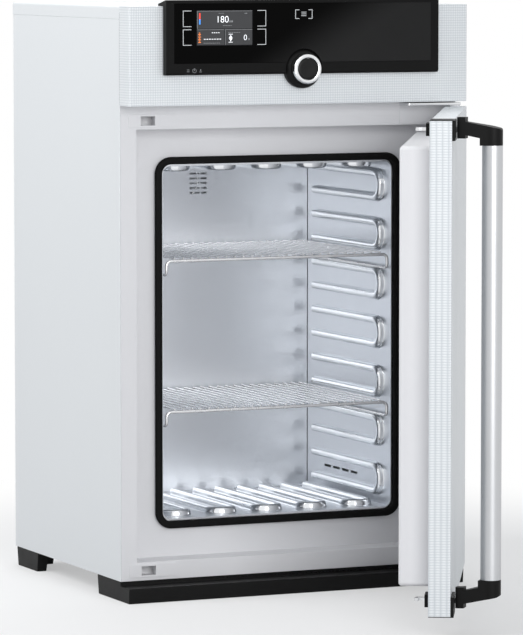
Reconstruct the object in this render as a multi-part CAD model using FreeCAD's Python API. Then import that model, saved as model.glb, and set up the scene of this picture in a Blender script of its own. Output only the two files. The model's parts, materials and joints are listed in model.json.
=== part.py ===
import FreeCAD, Part
import math
import os
from FreeCAD import Placement, Rotation, Vector

# Convection drying oven. Millimetres, X to the right seen from the front, Y to the back, Z up.
# The origin lies on the floor, at mid width, in the plane of the cabinet's front frame.
# Every piece is drawn with the door closed; opened() then turns the door's pieces to rest.

# Cabinet
case_width = 585.0
case_depth = 461.0
case_bottom = 31.0
cover_skirt = 20.1
sheet = 1.5
back_flange = 16.0
cover_edge_radius = 3.0
slide_gap = 0.3

# Control head, standing proud of the front frame
head_height = 154.8
head_rise = 37.7
head_proud = 40.0
head_corner = 2.0
frame_lap = 11.3

# Recess that takes the door's plug
recess_side = 28.5
recess_under = 60.0
recess_over = 61.0
recess_depth = 47.0

# Chamber
chamber_width = 400.0
chamber_bottom = 120.0
chamber_height = 560.0
chamber_depth = 321.0
liner_sheet = 1.2
rim_width = 14.0
rim_corner = 12.0
recess_hole_gap = 0.4

# Door gasket
gasket_inner_gap = 3.3
gasket_width = 11.9
gasket_front_gap = 0.4

# Hairpin ribs pressed into the liner
rib_pitch = 80.0
rib_bend_radius = 20.0
rib_height = 10.0
rib_foot_half = 6.5
rib_crest_half = 3.6
rib_bend_steps = 5
rib_front_gap = 23.0
rib_back_gap = 31.0
tape_half = 2.0
tape_thick = 4.0

# Air slots
grille_rows = 5
grille_row_pitch = 8.0
grille_slot_height = 3.0
grille_long_slot = 18.0
grille_short_slot = 11.0
grille_bridge = 2.0
grille_drop = 47.0
inlet_slots = 4
inlet_slot_length = 26.0
inlet_slot_height = 4.2
inlet_slot_pitch = 34.0
inlet_back_gap = 133.0
inlet_rib_count = 0
inlet_box_depth = 14.0
inlet_box_margin = 8.0

# Exhaust duct, flap and motor
duct_radius = 30.0
duct_wall = 1.5
duct_proud = 30.0
flap_inset = 25.0
spigot_flange = 2.0
spigot_flange_width = 6.0
flap_gap = 0.6
flap_thick = 1.6
flap_shaft_radius = 2.5
running_gap = 0.05
flap_shaft_reach = 24.0
motor_width = 34.0
motor_height = 28.0
motor_depth = 26.0
motor_coupling = 12.0

# Temperature probe behind the grille
probe_radius = 2.0
probe_length = 60.0
probe_offset = 14.0
probe_back_gap = 3.0

# Insulation and the shelf that carries the power unit
wool_gap = 0.8
partition_sheet = 1.5
power_width = 180.0
power_depth = 120.0
power_height = 70.0
power_offset = 30.0
power_back_gap = 81.0
fin_count = 8
fin_thick = 3.0
fin_height = 18.0

# Back panel details
vent_slots = 8
vent_slot_width = 4.0
vent_slot_height = 46.0
vent_slot_pitch = 12.0
vent_inset = 162.5
vent_drop = 68.4
gland_inset = 92.5
gland_drop = 83.4
gland_radius = 9.0
gland_bore = 4.0
gland_mouth = 9.0
gland_nut_radius = 13.0
gland_nut_thick = 6.0
gland_proud = 24.0
gland_inside = 8.0

# Feet
bar_front = 36.0
bar_height = 24.0
bar_draft = 1.6
bar_round = 2.0
bar_back = 25.0
foot_leg_width = 19.0
front_leg_end = 97.5
rear_foot_length = 96.7
rear_foot_inset = 8.9
rear_foot_inward = 62.0
foot_draft = 5.0

# Control panel on the head
bezel_inset = 57.0
bezel_rise = 47.8
bezel_above = 10.5
bezel_round = 3.0
bezel_proud = 13.0
bezel_bevel = 3.0
bezel_lap = 20.0
bezel_lap_rise = 3.5
glass_side_border = 14.0
glass_sill = 18.5
glass_top_border = 6.5
glass_thick = 2.0
glass_fit = 0.3
display_inset = 36.8
display_width = 96.0
display_rise = 26.8
display_height = 55.6
board_inset = 30.5
board_rise = 33.3
board_top_gap = 3.5
board_thick = 1.6
window_side_lap = 6.5
window_under = 3.8
window_over = 1.6

# Knob
knob_rise = 8.1
boss_radius = 31.0
boss_front_radius = 26.5
boss_height = 15.5
boss_straight = 9.0
boss_face = 3.5
ring_radius = 23.8
ring_inner = 17.0
ring_bevel = 1.6
ring_gap = 0.8
ring_length = 12.0
ring_web = 4.0
cap_gap = 0.4
cap_travel = 1.2
cap_thick = 6.0
stem_radius = 2.45
bush_radius = 5.0
encoder_side = 14.0
encoder_length = 5.5

# Door
door_drop = 0.2
door_head_gap = 8.6
door_front = 42.0
door_thick = 33.6
door_sheet = 1.2
door_hinge_round = 6.0
door_edge_round = 1.5
plug_side_gap = 6.5
plug_sill_gap = 11.0
plug_top_gap = 10.0
plug_height = 46.1
plug_corner = 6.0
plug_edge_round = 3.0
door_rest_angle = 61.1

# Hinges
hinge_inset = 12.5
hinge_forward = 24.0
hinge_pin_radius = 5.0
hinge_pin_reach = 17.0
bush_half = 7.5
bush_length = 18.0
leaf_thick = 4.0
leaf_length = 100.5
leaf_corner = 3.0
leaf_nose_eased = 8.0
leaf_side_gap = 2.5
leaf_nose_round = 9.0
leaf_door_gap = 2.4
lower_leaf_thick = 3.0
lower_leaf_door_gap = 1.2
lower_leaf_reach = 60.0
cover_plate_bottom_gap = 2.0
cover_plate_thick = 1.0

# Catches, latch and handle
catch_inset = 15.0
catch_width = 80.0
catch_height = 20.3
catch_proud = 1.0
catch_thick = 7.5
catch_rise = 13.5
corner_width = 75.0
slot_inset = 35.7
slot_width = 24.2
slot_height = 14.3
pocket_inset = 25.5
pocket_width = 38.0
pocket_height = 16.0
pocket_wall = 1.0
pocket_depth = 24.0
latch_angle = 12.0
latch_middle_rise = 3.05
handle_middle_rise = 6.75
pivot_inset = 42.0
pivot_depth = 14.0
pivot_radius = 4.0
hub_radius = 8.0
hook_rise = 1.8
hook_width = 7.0
hook_height = 5.0
hook_reach = 55.5
hook_head = 7.0
hook_head_length = 6.0
hook_nose = 2.0
neck_width = 8.0
neck_reach = 14.0
ear_gap = 6.0
ear_thick = 2.0
ear_half = 15.0
guide_half_height = 9.5
guide_half_width = 17.0
guide_thick = 6.6
guide_gap = 0.5
cap_width = 60.0
cap_height = 30.7
cap_proud = 4.5
cap_top = 1.2
lever_gap = 0.8

# Handle
tube_radius = 15.5
tube_wall = 2.0
tube_drop = 23.8
tube_side = 16.0
tube_out = 56.4
arm_root_back = 7.2
arm_root_front = 20.0
arm_root_half = 7.0
arm_root_round = 2.5
arm_root_below = 13.3
arm_root_above = 18.5
arm_crown_in = 11.7
arm_crown_out = 1.2
arm_under_in = 8.3
arm_under_out = 12.8
arm_round_gap = 0.2
arm_nose = 6.0
tenon_length = 18.0
tenon_half = 9.4
socket_gap = 0.1

# Wire shelves
shelf_rod_radius = 2.5
shelf_bar_radius = 1.5
shelf_bar_pitch = 15.0
shelf_side_gap = 6.5
shelf_proud = 2.5
shelf_back_gap = 11.0
shelf_rise = 22.6
shelf_bend = 8.0
shelf_bend_steps = 2
shelf_rod_sides = 6
shelf_bar_sides = 6
upper_shelf_rib_count = 4
lower_shelf_rib_count = 1

# Worked out from the driving sizes: the case and its chamber
ends = ("upper", "lower")
half_case = case_width / 2
half_chamber = chamber_width / 2
half_recess = half_case - recess_side
chamber_centre = chamber_bottom + chamber_height / 2
chamber_top = chamber_bottom + chamber_height
chamber_back = recess_depth + chamber_depth
recess_bottom = chamber_bottom - recess_under
recess_top = chamber_top + recess_over
head_bottom = recess_top + head_rise
head_front = -head_proud
frame_top = head_bottom + frame_lap
case_top = head_bottom + head_height
cover_seam = case_top - cover_skirt
liner_outer = half_chamber + liner_sheet
rim_face = recess_depth - liner_sheet

# Ribs, air and back
side_hairpins = int(chamber_height // rib_pitch)
floor_hairpins = int(chamber_width // rib_pitch)
rib_bend_y = recess_depth + rib_front_gap + rib_bend_radius + rib_foot_half
rib_end_y = chamber_back - rib_back_gap - rib_foot_half
groove_foot_half = rib_foot_half - liner_sheet
groove_crest_half = rib_crest_half - liner_sheet / 2
inlet_centre_y = chamber_back - inlet_back_gap
grille_centre_z = chamber_top - grille_drop
flap_y = case_depth - flap_inset
probe_y = chamber_back + liner_sheet + probe_radius + probe_back_gap
power_x = -power_width / 2 - power_offset
power_y = case_depth - power_back_gap - power_depth
vent_x = half_case - vent_inset
vent_z = cover_seam - vent_drop
gland_x = gland_inset - half_case
gland_z = cover_seam - gland_drop
rear_foot_back = case_depth - rear_foot_inset
rear_foot_front = rear_foot_back - rear_foot_length

# Control panel and knob
bezel_half = half_case - bezel_inset
bezel_bottom = head_bottom + bezel_rise
bezel_top = case_top + bezel_above
bezel_face = head_front - bezel_proud
glass_half = bezel_half - glass_side_border
glass_bottom = bezel_bottom + glass_sill
glass_top = bezel_top - glass_top_border
display_left = display_inset - glass_half
display_bottom = glass_bottom + display_rise
board_half = bezel_half - board_inset
board_bottom = head_bottom + board_rise
board_top = case_top - board_top_gap
board_back = head_front + sheet + board_thick
head_window_half = glass_half - window_side_lap
head_window_bottom = display_bottom - window_under
head_window_top = display_bottom + display_height + window_over
knob_z = bezel_bottom + knob_rise
boss_face_y = head_front - boss_height
ring_back = boss_face_y - ring_gap
ring_front = ring_back - ring_length
web_front = ring_back - ring_web

# Door, hinges, latch and handle
door_bottom = case_bottom - door_drop
door_top = head_bottom - door_head_gap
door_middle = (door_bottom + door_top) / 2
door_back = door_thick - door_front
plug_face = door_back + plug_height
plug_bottom = recess_bottom + plug_sill_gap
plug_top = recess_top - plug_top_gap
half_plug = half_recess - plug_side_gap
hinge_x = half_case - hinge_inset
leaf_left = half_case - leaf_length
leaf_low = door_bottom - lower_leaf_door_gap - lower_leaf_thick
catch_left = catch_inset - half_case
slot_left = slot_inset - half_case
pocket_left = pocket_inset - half_case
catch_z = recess_top + catch_rise
latch_middle = door_middle + latch_middle_rise
handle_middle = door_middle + handle_middle_rise
pivot_x = pivot_inset - half_case
pivot_y = pivot_depth - door_front
hook_z = catch_z + hook_rise
tube_top = hook_z - tube_drop
tube_bottom = 2 * handle_middle - tube_top

# Shelves
shelf_half = half_chamber - shelf_side_gap
shelf_front = recess_depth - shelf_proud + shelf_rod_radius
shelf_back = chamber_back - shelf_back_gap
shelf_bars = int(2 * (shelf_half - shelf_bend) // shelf_bar_pitch) + 1


def outline(corners):
    """Closed wire in XY through (x, y, radius) corners, each rounded by its own radius."""
    count = len(corners)
    starts, ends, arcs = [], [], []
    for i, (x, y, radius) in enumerate(corners):
        corner = Vector(x, y, 0)
        before = Vector(*corners[i - 1][:2], 0) - corner
        after = Vector(*corners[(i + 1) % count][:2], 0) - corner
        before.normalize()
        after.normalize()
        half = before.getAngle(after) / 2
        if radius <= 0:
            starts.append(corner)
            ends.append(corner)
            arcs.append(None)
            continue
        reach = radius / math.tan(half)
        middle = before + after
        middle.normalize()
        starts.append(corner + before * reach)
        ends.append(corner + after * reach)
        arcs.append(corner + middle * (radius / math.sin(half) - radius))
    edges = []
    for i in range(count):
        if arcs[i] is not None:
            edges.append(Part.Arc(starts[i], arcs[i], ends[i]).toShape())
        following = starts[(i + 1) % count]
        if (following - ends[i]).Length > 1e-6:
            edges.append(Part.LineSegment(ends[i], following).toShape())
    return Part.Wire(edges)


def box_corners(a0, a1, b0, b1, radius=0.0):
    """Corners of a rectangle for outline()."""
    return [(a0, b0, radius), (a1, b0, radius), (a1, b1, radius), (a0, b1, radius)]


def plan(corners, z0, z1):
    """Outline in (x, y), extruded in Z."""
    face = Part.Face(outline(corners))
    face.Placement = Placement(Vector(0, 0, z0), Rotation())
    return face.extrude(Vector(0, 0, z1 - z0))


def front(corners, y0, y1):
    """Outline in (x, z), extruded in Y."""
    face = Part.Face(outline(corners))
    face.Placement = Placement(Vector(0, y0, 0), Rotation(Vector(1, 0, 0), 90))
    return face.extrude(Vector(0, y1 - y0, 0))


def side(corners, x0, x1):
    """Outline in (y, z), extruded in X."""
    face = Part.Face(outline(corners))
    face.Placement = Placement(Vector(x0, 0, 0), Rotation(Vector(1, 1, 1), 120))
    return face.extrude(Vector(x1 - x0, 0, 0))


def block(x0, x1, y0, y1, z0, z1):
    return Part.makeBox(x1 - x0, y1 - y0, z1 - z0, Vector(x0, y0, z0))


def rod(radius, start, end):
    """Cylinder from one point to another."""
    start, end = Vector(*start), Vector(*end)
    return Part.makeCylinder(radius, (end - start).Length, start, end - start)


def turned(profile, centre_x, centre_z):
    """Solid of revolution about a line along Y, from (radius, y) points."""
    points = [Vector(centre_x + radius, y, centre_z) for radius, y in profile]
    face = Part.Face(Part.makePolygon(points + points[:1]))
    return face.revolve(Vector(centre_x, 0, centre_z), Vector(0, 1, 0), 360)


def skinned(rings):
    """Solid of flat faces through rings of matching points."""
    count = len(rings[0])
    faces = [Part.Face(Part.makePolygon(ring + ring[:1])) for ring in (rings[0], rings[-1])]
    for low, high in zip(rings, rings[1:]):
        for i in range(count):
            corner = (i + 1) % count
            quad = [low[i], low[corner], high[corner], high[i]]
            faces.append(Part.Face(Part.makePolygon(quad + quad[:1])))
    shell = Part.makeShell(faces)
    shell.sewShape()
    solid = Part.makeSolid(shell)
    if solid.Volume < 0:
        solid.reverse()
    return solid


def fused(shapes):
    return shapes[0].multiFuse(shapes[1:]).removeSplitter()


def at_end(shape, end, middle):
    """The piece as drawn at the upper end, or mirrored about a height for the lower end."""
    if end == "upper":
        return shape
    return shape.mirror(Vector(0, 0, middle), Vector(0, 0, 1))


def opened(shape):
    """Turns a piece of the door from closed to the rest pose."""
    shape = shape.copy()
    shape.rotate(Vector(hinge_x, -hinge_forward, 0), Vector(0, 0, 1), door_rest_angle)
    return shape


def released(shape):
    """Turns a piece of the handle to where its hooks leave the catches, then opens the door."""
    shape = shape.copy()
    shape.rotate(Vector(pivot_x, pivot_y, 0), Vector(0, 0, 1), -latch_angle)
    return opened(shape)


def save(name, shape):
    shape.exportStep("parts/" + name + ".step")


def side_panel():
    """Left side: folded sheet with a flange at the back and one at the top."""
    wall = [(-half_case, 0, 0), (-half_case, case_depth - sheet, sheet),
            (back_flange - half_case, case_depth - sheet, 0),
            (back_flange - half_case, case_depth - 2 * sheet, 0),
            (sheet - half_case, case_depth - 2 * sheet, 0), (sheet - half_case, 0, 0)]
    panel = plan(wall, case_bottom, cover_seam)
    lip = block(sheet - half_case, back_flange - half_case, sheet, case_depth - 2 * sheet,
                cover_seam - sheet, cover_seam)
    return fused([panel, lip])


def top_cover():
    """Cover with a skirt on three sides; the control head closes its front."""
    outer = block(-half_case, half_case, 0, case_depth, cover_seam, case_top)
    top_edges = [edge for edge in outer.Edges if edge.CenterOfMass.z > case_top - sheet
                 and edge.CenterOfMass.y > sheet]
    outer = outer.makeFillet(cover_edge_radius, top_edges)
    inner = block(sheet - half_case, half_case - sheet, -sheet, case_depth - sheet,
                  cover_seam - sheet, case_top - sheet)
    return outer.cut(inner)


def back_panel():
    """Flat panel with the exhaust hole, the gland hole and vent slots."""
    half = half_case - 2 * sheet
    panel = block(-half, half, case_depth - sheet, case_depth, case_bottom, cover_seam)
    beyond = (case_depth - 3 * sheet, case_depth + sheet)
    holes = [rod(duct_radius + slide_gap, (0, beyond[0], grille_centre_z),
                 (0, beyond[1], grille_centre_z)),
             rod(gland_radius + slide_gap, (gland_x, beyond[0], gland_z),
                 (gland_x, beyond[1], gland_z))]
    for i in range(vent_slots):
        x = vent_x + (i - (vent_slots - 1) / 2) * vent_slot_pitch
        holes.append(front(box_corners(x - vent_slot_width / 2, x + vent_slot_width / 2,
                                       vent_z - vent_slot_height / 2,
                                       vent_z + vent_slot_height / 2), *beyond))
    return panel.cut(Part.makeCompound(holes))


def bottom_plate():
    return block(sheet - half_case, half_case - sheet, sheet, case_depth - 2 * sheet,
                 case_bottom, case_bottom + sheet)


def pocket_hole(z):
    """Opening in the frame's face for one catch's strike pocket."""
    reach = pocket_wall + slide_gap
    return block(pocket_left - reach, pocket_left + pocket_width + reach, -sheet, 2 * sheet,
                 z - pocket_height / 2 - reach, z + pocket_height / 2 + reach)


def catch_corner():
    """Room of the face's upper left corner, where the plate round the catch is welded in."""
    left = sheet - half_case
    return block(left, left + corner_width, 0, sheet, recess_top + sheet, frame_top)


def recess_back():
    """Back of the recess with the opening of the chamber."""
    reach = liner_outer + recess_hole_gap
    mouth = front(box_corners(-reach, reach, chamber_centre - chamber_height / 2 + half_chamber
                              - reach, chamber_centre + chamber_height / 2 + reach
                              - half_chamber), recess_depth - sheet, recess_depth + 2 * sheet)
    plate = block(-half_recess, half_recess, recess_depth, recess_depth + sheet,
                  recess_bottom, recess_top)
    return plate.cut(mouth)


def front_frame():
    """Face strips, corner plates at the catches, recess walls and recess back, all welded."""
    edge = half_case - sheet
    wall = half_recess + sheet
    depth = recess_depth + sheet
    low, high = recess_bottom - sheet, recess_top + sheet
    pieces = [block(wall, edge, 0, sheet, case_bottom, frame_top),
              block(-edge, -wall, 0, sheet, low, high),
              block(-wall, wall, 0, depth, recess_top, high),
              block(-wall, wall, 0, depth, low, recess_bottom),
              block(-wall, -half_recess, 0, depth, recess_bottom, recess_top),
              block(half_recess, wall, 0, depth, recess_bottom, recess_top),
              recess_back()]
    strips = (block(-edge, wall, 0, sheet, high, frame_top),
              block(-edge, wall, 0, sheet, case_bottom, low))
    for end, strip in zip(ends, strips):
        room = at_end(catch_corner(), end, (recess_bottom + recess_top) / 2)
        hole = at_end(pocket_hole(catch_z), end, door_middle)
        pieces += strip.cut(room).Solids + strip.common(room).cut(hole).Solids
    return Part.makeCompound(pieces)


def catch():
    """Striker plate with the hook's slot, and the pocket behind it."""
    low, high = catch_z - catch_height / 2, catch_z + catch_height / 2
    plate = block(catch_left, catch_left + catch_width, -catch_proud, 0, low, high)
    shell = block(pocket_left - pocket_wall, pocket_left + pocket_width + pocket_wall, 0,
                  pocket_depth, catch_z - pocket_height / 2 - pocket_wall,
                  catch_z + pocket_height / 2 + pocket_wall)
    room = block(pocket_left, pocket_left + pocket_width, catch_thick - catch_proud,
                 pocket_depth - pocket_wall, catch_z - pocket_height / 2,
                 catch_z + pocket_height / 2)
    slot = block(slot_left, slot_left + slot_width, -2 * catch_proud, catch_thick,
                 catch_z - slot_height / 2, catch_z + slot_height / 2)
    return fused([plate, shell]).cut(room).cut(slot)


def chamber_rim():
    """Turned-out flange of the liner, bright round the chamber's mouth."""
    reach = half_chamber + rim_width
    tall = chamber_height / 2 + rim_width
    ring = front(box_corners(-reach, reach, chamber_centre - tall, chamber_centre + tall,
                             rim_corner + rim_width), rim_face, recess_depth)
    hole = front(box_corners(-half_chamber, half_chamber, chamber_bottom, chamber_top,
                             rim_corner), 0, 2 * recess_depth)
    return ring.cut(hole)


def door_gasket():
    """Black seal on the rim, round the mouth; the door's plug closes against it."""
    inner = half_chamber + gasket_inner_gap
    tall = chamber_height / 2 + gasket_inner_gap
    corner = rim_corner + gasket_inner_gap
    outer = front(box_corners(-inner - gasket_width, inner + gasket_width,
                              chamber_centre - tall - gasket_width,
                              chamber_centre + tall + gasket_width, corner + gasket_width),
                  plug_face + gasket_front_gap, rim_face)
    hole = front(box_corners(-inner, inner, chamber_centre - tall, chamber_centre + tall,
                             corner), 0, 2 * recess_depth)
    return outer.cut(hole)


def hairpin_outline(half, centre, height):
    """Plan of a hairpin of the given half width: two rails and a bend of straight steps."""
    def bend(radius, turns):
        return [Vector(centre - radius * math.cos(turn), rib_bend_y - radius * math.sin(turn),
                       height) for turn in turns]
    turns = [math.pi * i / rib_bend_steps for i in range(rib_bend_steps + 1)]
    tip = rib_end_y + half
    left, right = centre - rib_bend_radius, centre + rib_bend_radius
    points = [Vector(left - half, tip, height)] + bend(rib_bend_radius + half, turns)
    points += [Vector(right + half, tip, height), Vector(right - half, tip, height)]
    points += bend(rib_bend_radius - half, reversed(turns)) + [Vector(left + half, tip, height)]
    return points


def hairpin(foot_half, crest_half, centre, low, high):
    """Solid hairpin that narrows from its foot to its crest, on a wall in XY."""
    return skinned([hairpin_outline(foot_half, centre, low),
                    hairpin_outline(crest_half, centre, high)])


def hairpin_centres(count):
    return [(i - (count - 1) / 2) * rib_pitch for i in range(count)]


def ribbed_wall(half_width, count):
    """One liner wall in XY, facing +Z, with its row of hairpins pressed out of the sheet."""
    plate = block(-half_width, half_width, recess_depth, chamber_back, -liner_sheet, 0)
    ribs, grooves = [], []
    for centre in hairpin_centres(count):
        ribs.append(hairpin(rib_foot_half, rib_crest_half, centre, 0, rib_height))
        grooves.append(hairpin(groove_foot_half, groove_crest_half, centre, -liner_sheet,
                               rib_height - liner_sheet))
    return fused([plate] + ribs).cut(Part.makeCompound(grooves))


def heating_tape(count):
    """The tapes of one wall, each lying in its hairpin's groove against the crest."""
    high = rib_height - liner_sheet - slide_gap
    tapes = [hairpin(tape_half, tape_half, centre, high - tape_thick, high)
             for centre in hairpin_centres(count)]
    return Part.makeCompound(tapes)


def on_floor(shape):
    return shape.transformed(Placement(Vector(0, 0, chamber_bottom), Rotation()).toMatrix())


def on_ceiling(shape):
    turn = Rotation(Vector(0, 1, 0), 180)
    return shape.transformed(Placement(Vector(0, 0, chamber_top), turn).toMatrix())


def on_left(shape):
    turn = Rotation(Vector(0, 1, 0), 90)
    return shape.transformed(Placement(Vector(-half_chamber, 0, chamber_centre), turn).toMatrix())


def on_right(shape):
    turn = Rotation(Vector(0, 1, 0), -90)
    return shape.transformed(Placement(Vector(half_chamber, 0, chamber_centre), turn).toMatrix())


def inlet_across():
    """Height of the air inlet slots, as a place across the right wall."""
    return hairpin_centres(side_hairpins)[inlet_rib_count]


def inlet_slot_tools():
    """Slots between the rails of the right wall's lowest hairpin."""
    across = inlet_across()
    tools = []
    for i in range(inlet_slots):
        y = inlet_centre_y + (i - (inlet_slots - 1) / 2) * inlet_slot_pitch
        tools.append(block(across - inlet_slot_height / 2, across + inlet_slot_height / 2,
                           y - inlet_slot_length / 2, y + inlet_slot_length / 2,
                           -2 * liner_sheet, liner_sheet))
    return Part.makeCompound(tools)


def fresh_air_box():
    """Shallow tray behind the right wall's slots, open towards them."""
    across = inlet_across()
    half_long = inlet_slots * inlet_slot_pitch / 2 + inlet_box_margin
    half_high = rib_bend_radius - groove_foot_half - wool_gap
    low = -liner_sheet - inlet_box_depth
    outer = block(across - half_high, across + half_high, inlet_centre_y - half_long,
                  inlet_centre_y + half_long, low, -liner_sheet)
    inner = block(across - half_high + sheet, across + half_high - sheet,
                  inlet_centre_y - half_long + sheet, inlet_centre_y + half_long - sheet,
                  low + sheet, 0)
    return outer.cut(inner)


def liner_back():
    """Back wall with the exhaust grille: five rows of a long and a short slot."""
    wall = block(-half_chamber - liner_sheet, half_chamber + liner_sheet, chamber_back,
                 chamber_back + liner_sheet, chamber_bottom - liner_sheet,
                 chamber_top + liner_sheet)
    width = grille_long_slot + grille_bridge + grille_short_slot
    tools = []
    for row in range(grille_rows):
        z = grille_centre_z + (row - (grille_rows - 1) / 2) * grille_row_pitch
        low, high = z - grille_slot_height / 2, z + grille_slot_height / 2
        left = -width / 2
        middle = left + grille_long_slot
        for x0, x1 in ((left, middle), (middle + grille_bridge, width / 2)):
            tools.append(front(box_corners(x0, x1, low, high), chamber_back - sheet,
                               chamber_back + 2 * sheet))
    return wall.cut(Part.makeCompound(tools))


def exhaust_duct():
    """Round duct from the grille out of the back, flanged there, with the flap's shaft hole."""
    start, end = chamber_back + liner_sheet, case_depth + duct_proud
    tube = rod(duct_radius, (0, start, grille_centre_z), (0, end, grille_centre_z))
    reach = duct_radius + spigot_flange_width
    flange = block(-reach, reach, case_depth, case_depth + spigot_flange,
                   grille_centre_z - reach, grille_centre_z + reach)
    outer = fused([tube, flange])
    bore = rod(duct_radius - duct_wall, (0, 0, grille_centre_z), (0, 2 * end, grille_centre_z))
    shaft_hole = rod(flap_shaft_radius + running_gap, (0, flap_y, grille_centre_z),
                     (2 * duct_radius, flap_y, grille_centre_z))
    return outer.cut(bore).cut(shaft_hole)


def exhaust_flap():
    """Disc on its shaft, closed across the duct."""
    radius = duct_radius - duct_wall - flap_gap
    disc = rod(radius, (0, flap_y - flap_thick / 2, grille_centre_z),
               (0, flap_y + flap_thick / 2, grille_centre_z))
    shaft = rod(flap_shaft_radius, (-flap_shaft_reach, flap_y, grille_centre_z),
                (duct_radius + motor_coupling, flap_y, grille_centre_z))
    return fused([disc, shaft])


def flap_motor():
    """Gear motor beside the duct, with a socket for the flap's shaft."""
    x = duct_radius + slide_gap
    body = block(x, x + motor_width, flap_y - motor_depth / 2, flap_y + motor_depth / 2,
                 grille_centre_z - motor_height / 2, grille_centre_z + motor_height / 2)
    socket = rod(flap_shaft_radius + running_gap, (0, flap_y, grille_centre_z),
                 (duct_radius + motor_coupling + slide_gap, flap_y, grille_centre_z))
    duct_room = rod(duct_radius + slide_gap, (0, 0, grille_centre_z),
                    (0, case_depth, grille_centre_z))
    return body.cut(socket).cut(duct_room)


def temperature_probe():
    """Sensor rod that reaches down into the duct's mouth behind the grille."""
    low = grille_centre_z + probe_offset
    return rod(probe_radius, (0, probe_y, low), (0, probe_y, low + probe_length))


def probe_notch():
    """Notch in the duct's front end for the probe."""
    reach = probe_radius + running_gap
    return block(-reach, reach, chamber_back, probe_y + reach, grille_centre_z + probe_offset,
                 grille_centre_z + 2 * duct_radius)


def insulation():
    """Mineral wool slabs on five sides, left clear of the duct, motor, probe and air box."""
    inner = liner_outer + wool_gap
    outer = half_case - sheet - wool_gap
    front_y = recess_depth + sheet + wool_gap
    back_y = case_depth - 2 * sheet - wool_gap
    low = case_bottom + sheet + wool_gap
    high = recess_top + sheet - wool_gap
    left = block(-outer, -inner, front_y, back_y, low, high)
    right = block(inner, outer, front_y, back_y, low, high)
    tray = fresh_air_box().BoundBox
    tray_room = block(tray.XMin - wool_gap, tray.XMax + wool_gap, tray.YMin - wool_gap,
                      tray.YMax + wool_gap, tray.ZMin - wool_gap, 0)
    right = right.cut(on_right(tray_room))
    across = inner - wool_gap
    below = block(-across, across, front_y, back_y, low, chamber_bottom - liner_sheet - wool_gap)
    above = block(-across, across, front_y, back_y, chamber_top + liner_sheet + wool_gap, high)
    behind = block(-across, across, chamber_back + liner_sheet + wool_gap, back_y,
                   chamber_bottom, chamber_top)
    reach = duct_radius + wool_gap
    duct_room = block(-reach, reach + motor_width, chamber_back, case_depth,
                      grille_centre_z - reach, grille_centre_z + reach)
    reach = probe_radius + wool_gap
    probe_room = block(-reach, reach, chamber_back, probe_y + reach, grille_centre_z,
                       grille_centre_z + probe_offset + probe_length + wool_gap)
    above = above.cut(probe_room)
    behind = behind.cut(duct_room).cut(probe_room)
    return Part.makeCompound([left, right, below, above, behind])


def partition():
    """Shelf above the insulation that carries the electrics."""
    half = half_case - sheet - slide_gap
    low = recess_top + sheet
    return block(-half, half, recess_depth + sheet + wool_gap, case_depth - 2 * sheet - slide_gap,
                 low, low + partition_sheet)


def power_unit():
    """Finned housing on the partition."""
    low = recess_top + sheet + partition_sheet
    core = block(power_x, power_x + power_width, power_y, power_y + power_depth, low,
                 low + power_height - fin_height)
    step = (power_width - fin_thick) / (fin_count - 1)
    fins = [block(power_x + i * step, power_x + i * step + fin_thick, power_y,
                  power_y + power_depth, low + power_height - fin_height, low + power_height)
            for i in range(fin_count)]
    return fused([core] + fins)


def hexagon(flat_radius, y0, y1):
    """Hexagonal prism along the gland's axis."""
    reach = flat_radius / math.cos(math.pi / 6)
    turns = [math.pi * i / 3 for i in range(6)]
    return front([(gland_x + reach * math.cos(turn), gland_z + reach * math.sin(turn), 0)
                  for turn in turns], y0, y1)


def cable_gland():
    """Gland in the back panel, clamped by its outer nut; no cord leaves it."""
    inside = case_depth - sheet - gland_inside
    outside = case_depth + gland_nut_thick
    nut = hexagon(gland_nut_radius, case_depth, outside)
    thread = rod(gland_radius, (gland_x, inside, gland_z), (gland_x, outside, gland_z))
    cap = hexagon(gland_mouth, outside, case_depth + gland_proud)
    bore = rod(gland_bore, (gland_x, 0, gland_z), (gland_x, 2 * case_depth, gland_z))
    return fused([nut, thread, cap]).cut(bore)


def front_foot():
    """Moulded bar along the whole front, notched for the hinge leaf, with a leg each side."""
    bar = side([(bar_draft - bar_front, 0, 0), (-bar_front, bar_height, bar_round),
                (0, bar_height, 0), (0, case_bottom, 0), (bar_back, case_bottom, 0),
                (bar_back - bar_draft, 0, 0)], -half_case, half_case)
    leaf_room = block(leaf_left - slide_gap, half_case, 0, bar_back,
                      leaf_low - slide_gap, case_bottom)
    bar = bar.cut(leaf_room)
    leg_corners = [(0, 0, 0), (0, case_bottom, 0), (front_leg_end, case_bottom, 0),
                   (front_leg_end - foot_draft, 0, 0)]
    left = side(leg_corners, -half_case, foot_leg_width - half_case)
    right = side(leg_corners, half_case - foot_leg_width, half_case)
    return fused([bar, left, right])


def rear_foot():
    """Right rear corner foot: an angle in plan, drawn in towards the floor."""
    def angle(inset, z):
        corners = [(half_case, rear_foot_front + inset), (half_case, rear_foot_back - inset),
                   (half_case - rear_foot_inward + inset, rear_foot_back - inset),
                   (half_case - rear_foot_inward + inset, rear_foot_back - foot_leg_width),
                   (half_case - foot_leg_width + inset / 2, rear_foot_back - foot_leg_width),
                   (half_case - foot_leg_width + inset / 2, rear_foot_front + inset)]
        return [Vector(x, y, z) for x, y in corners]
    return skinned([angle(foot_draft, 0), angle(0, case_bottom)])


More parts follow.
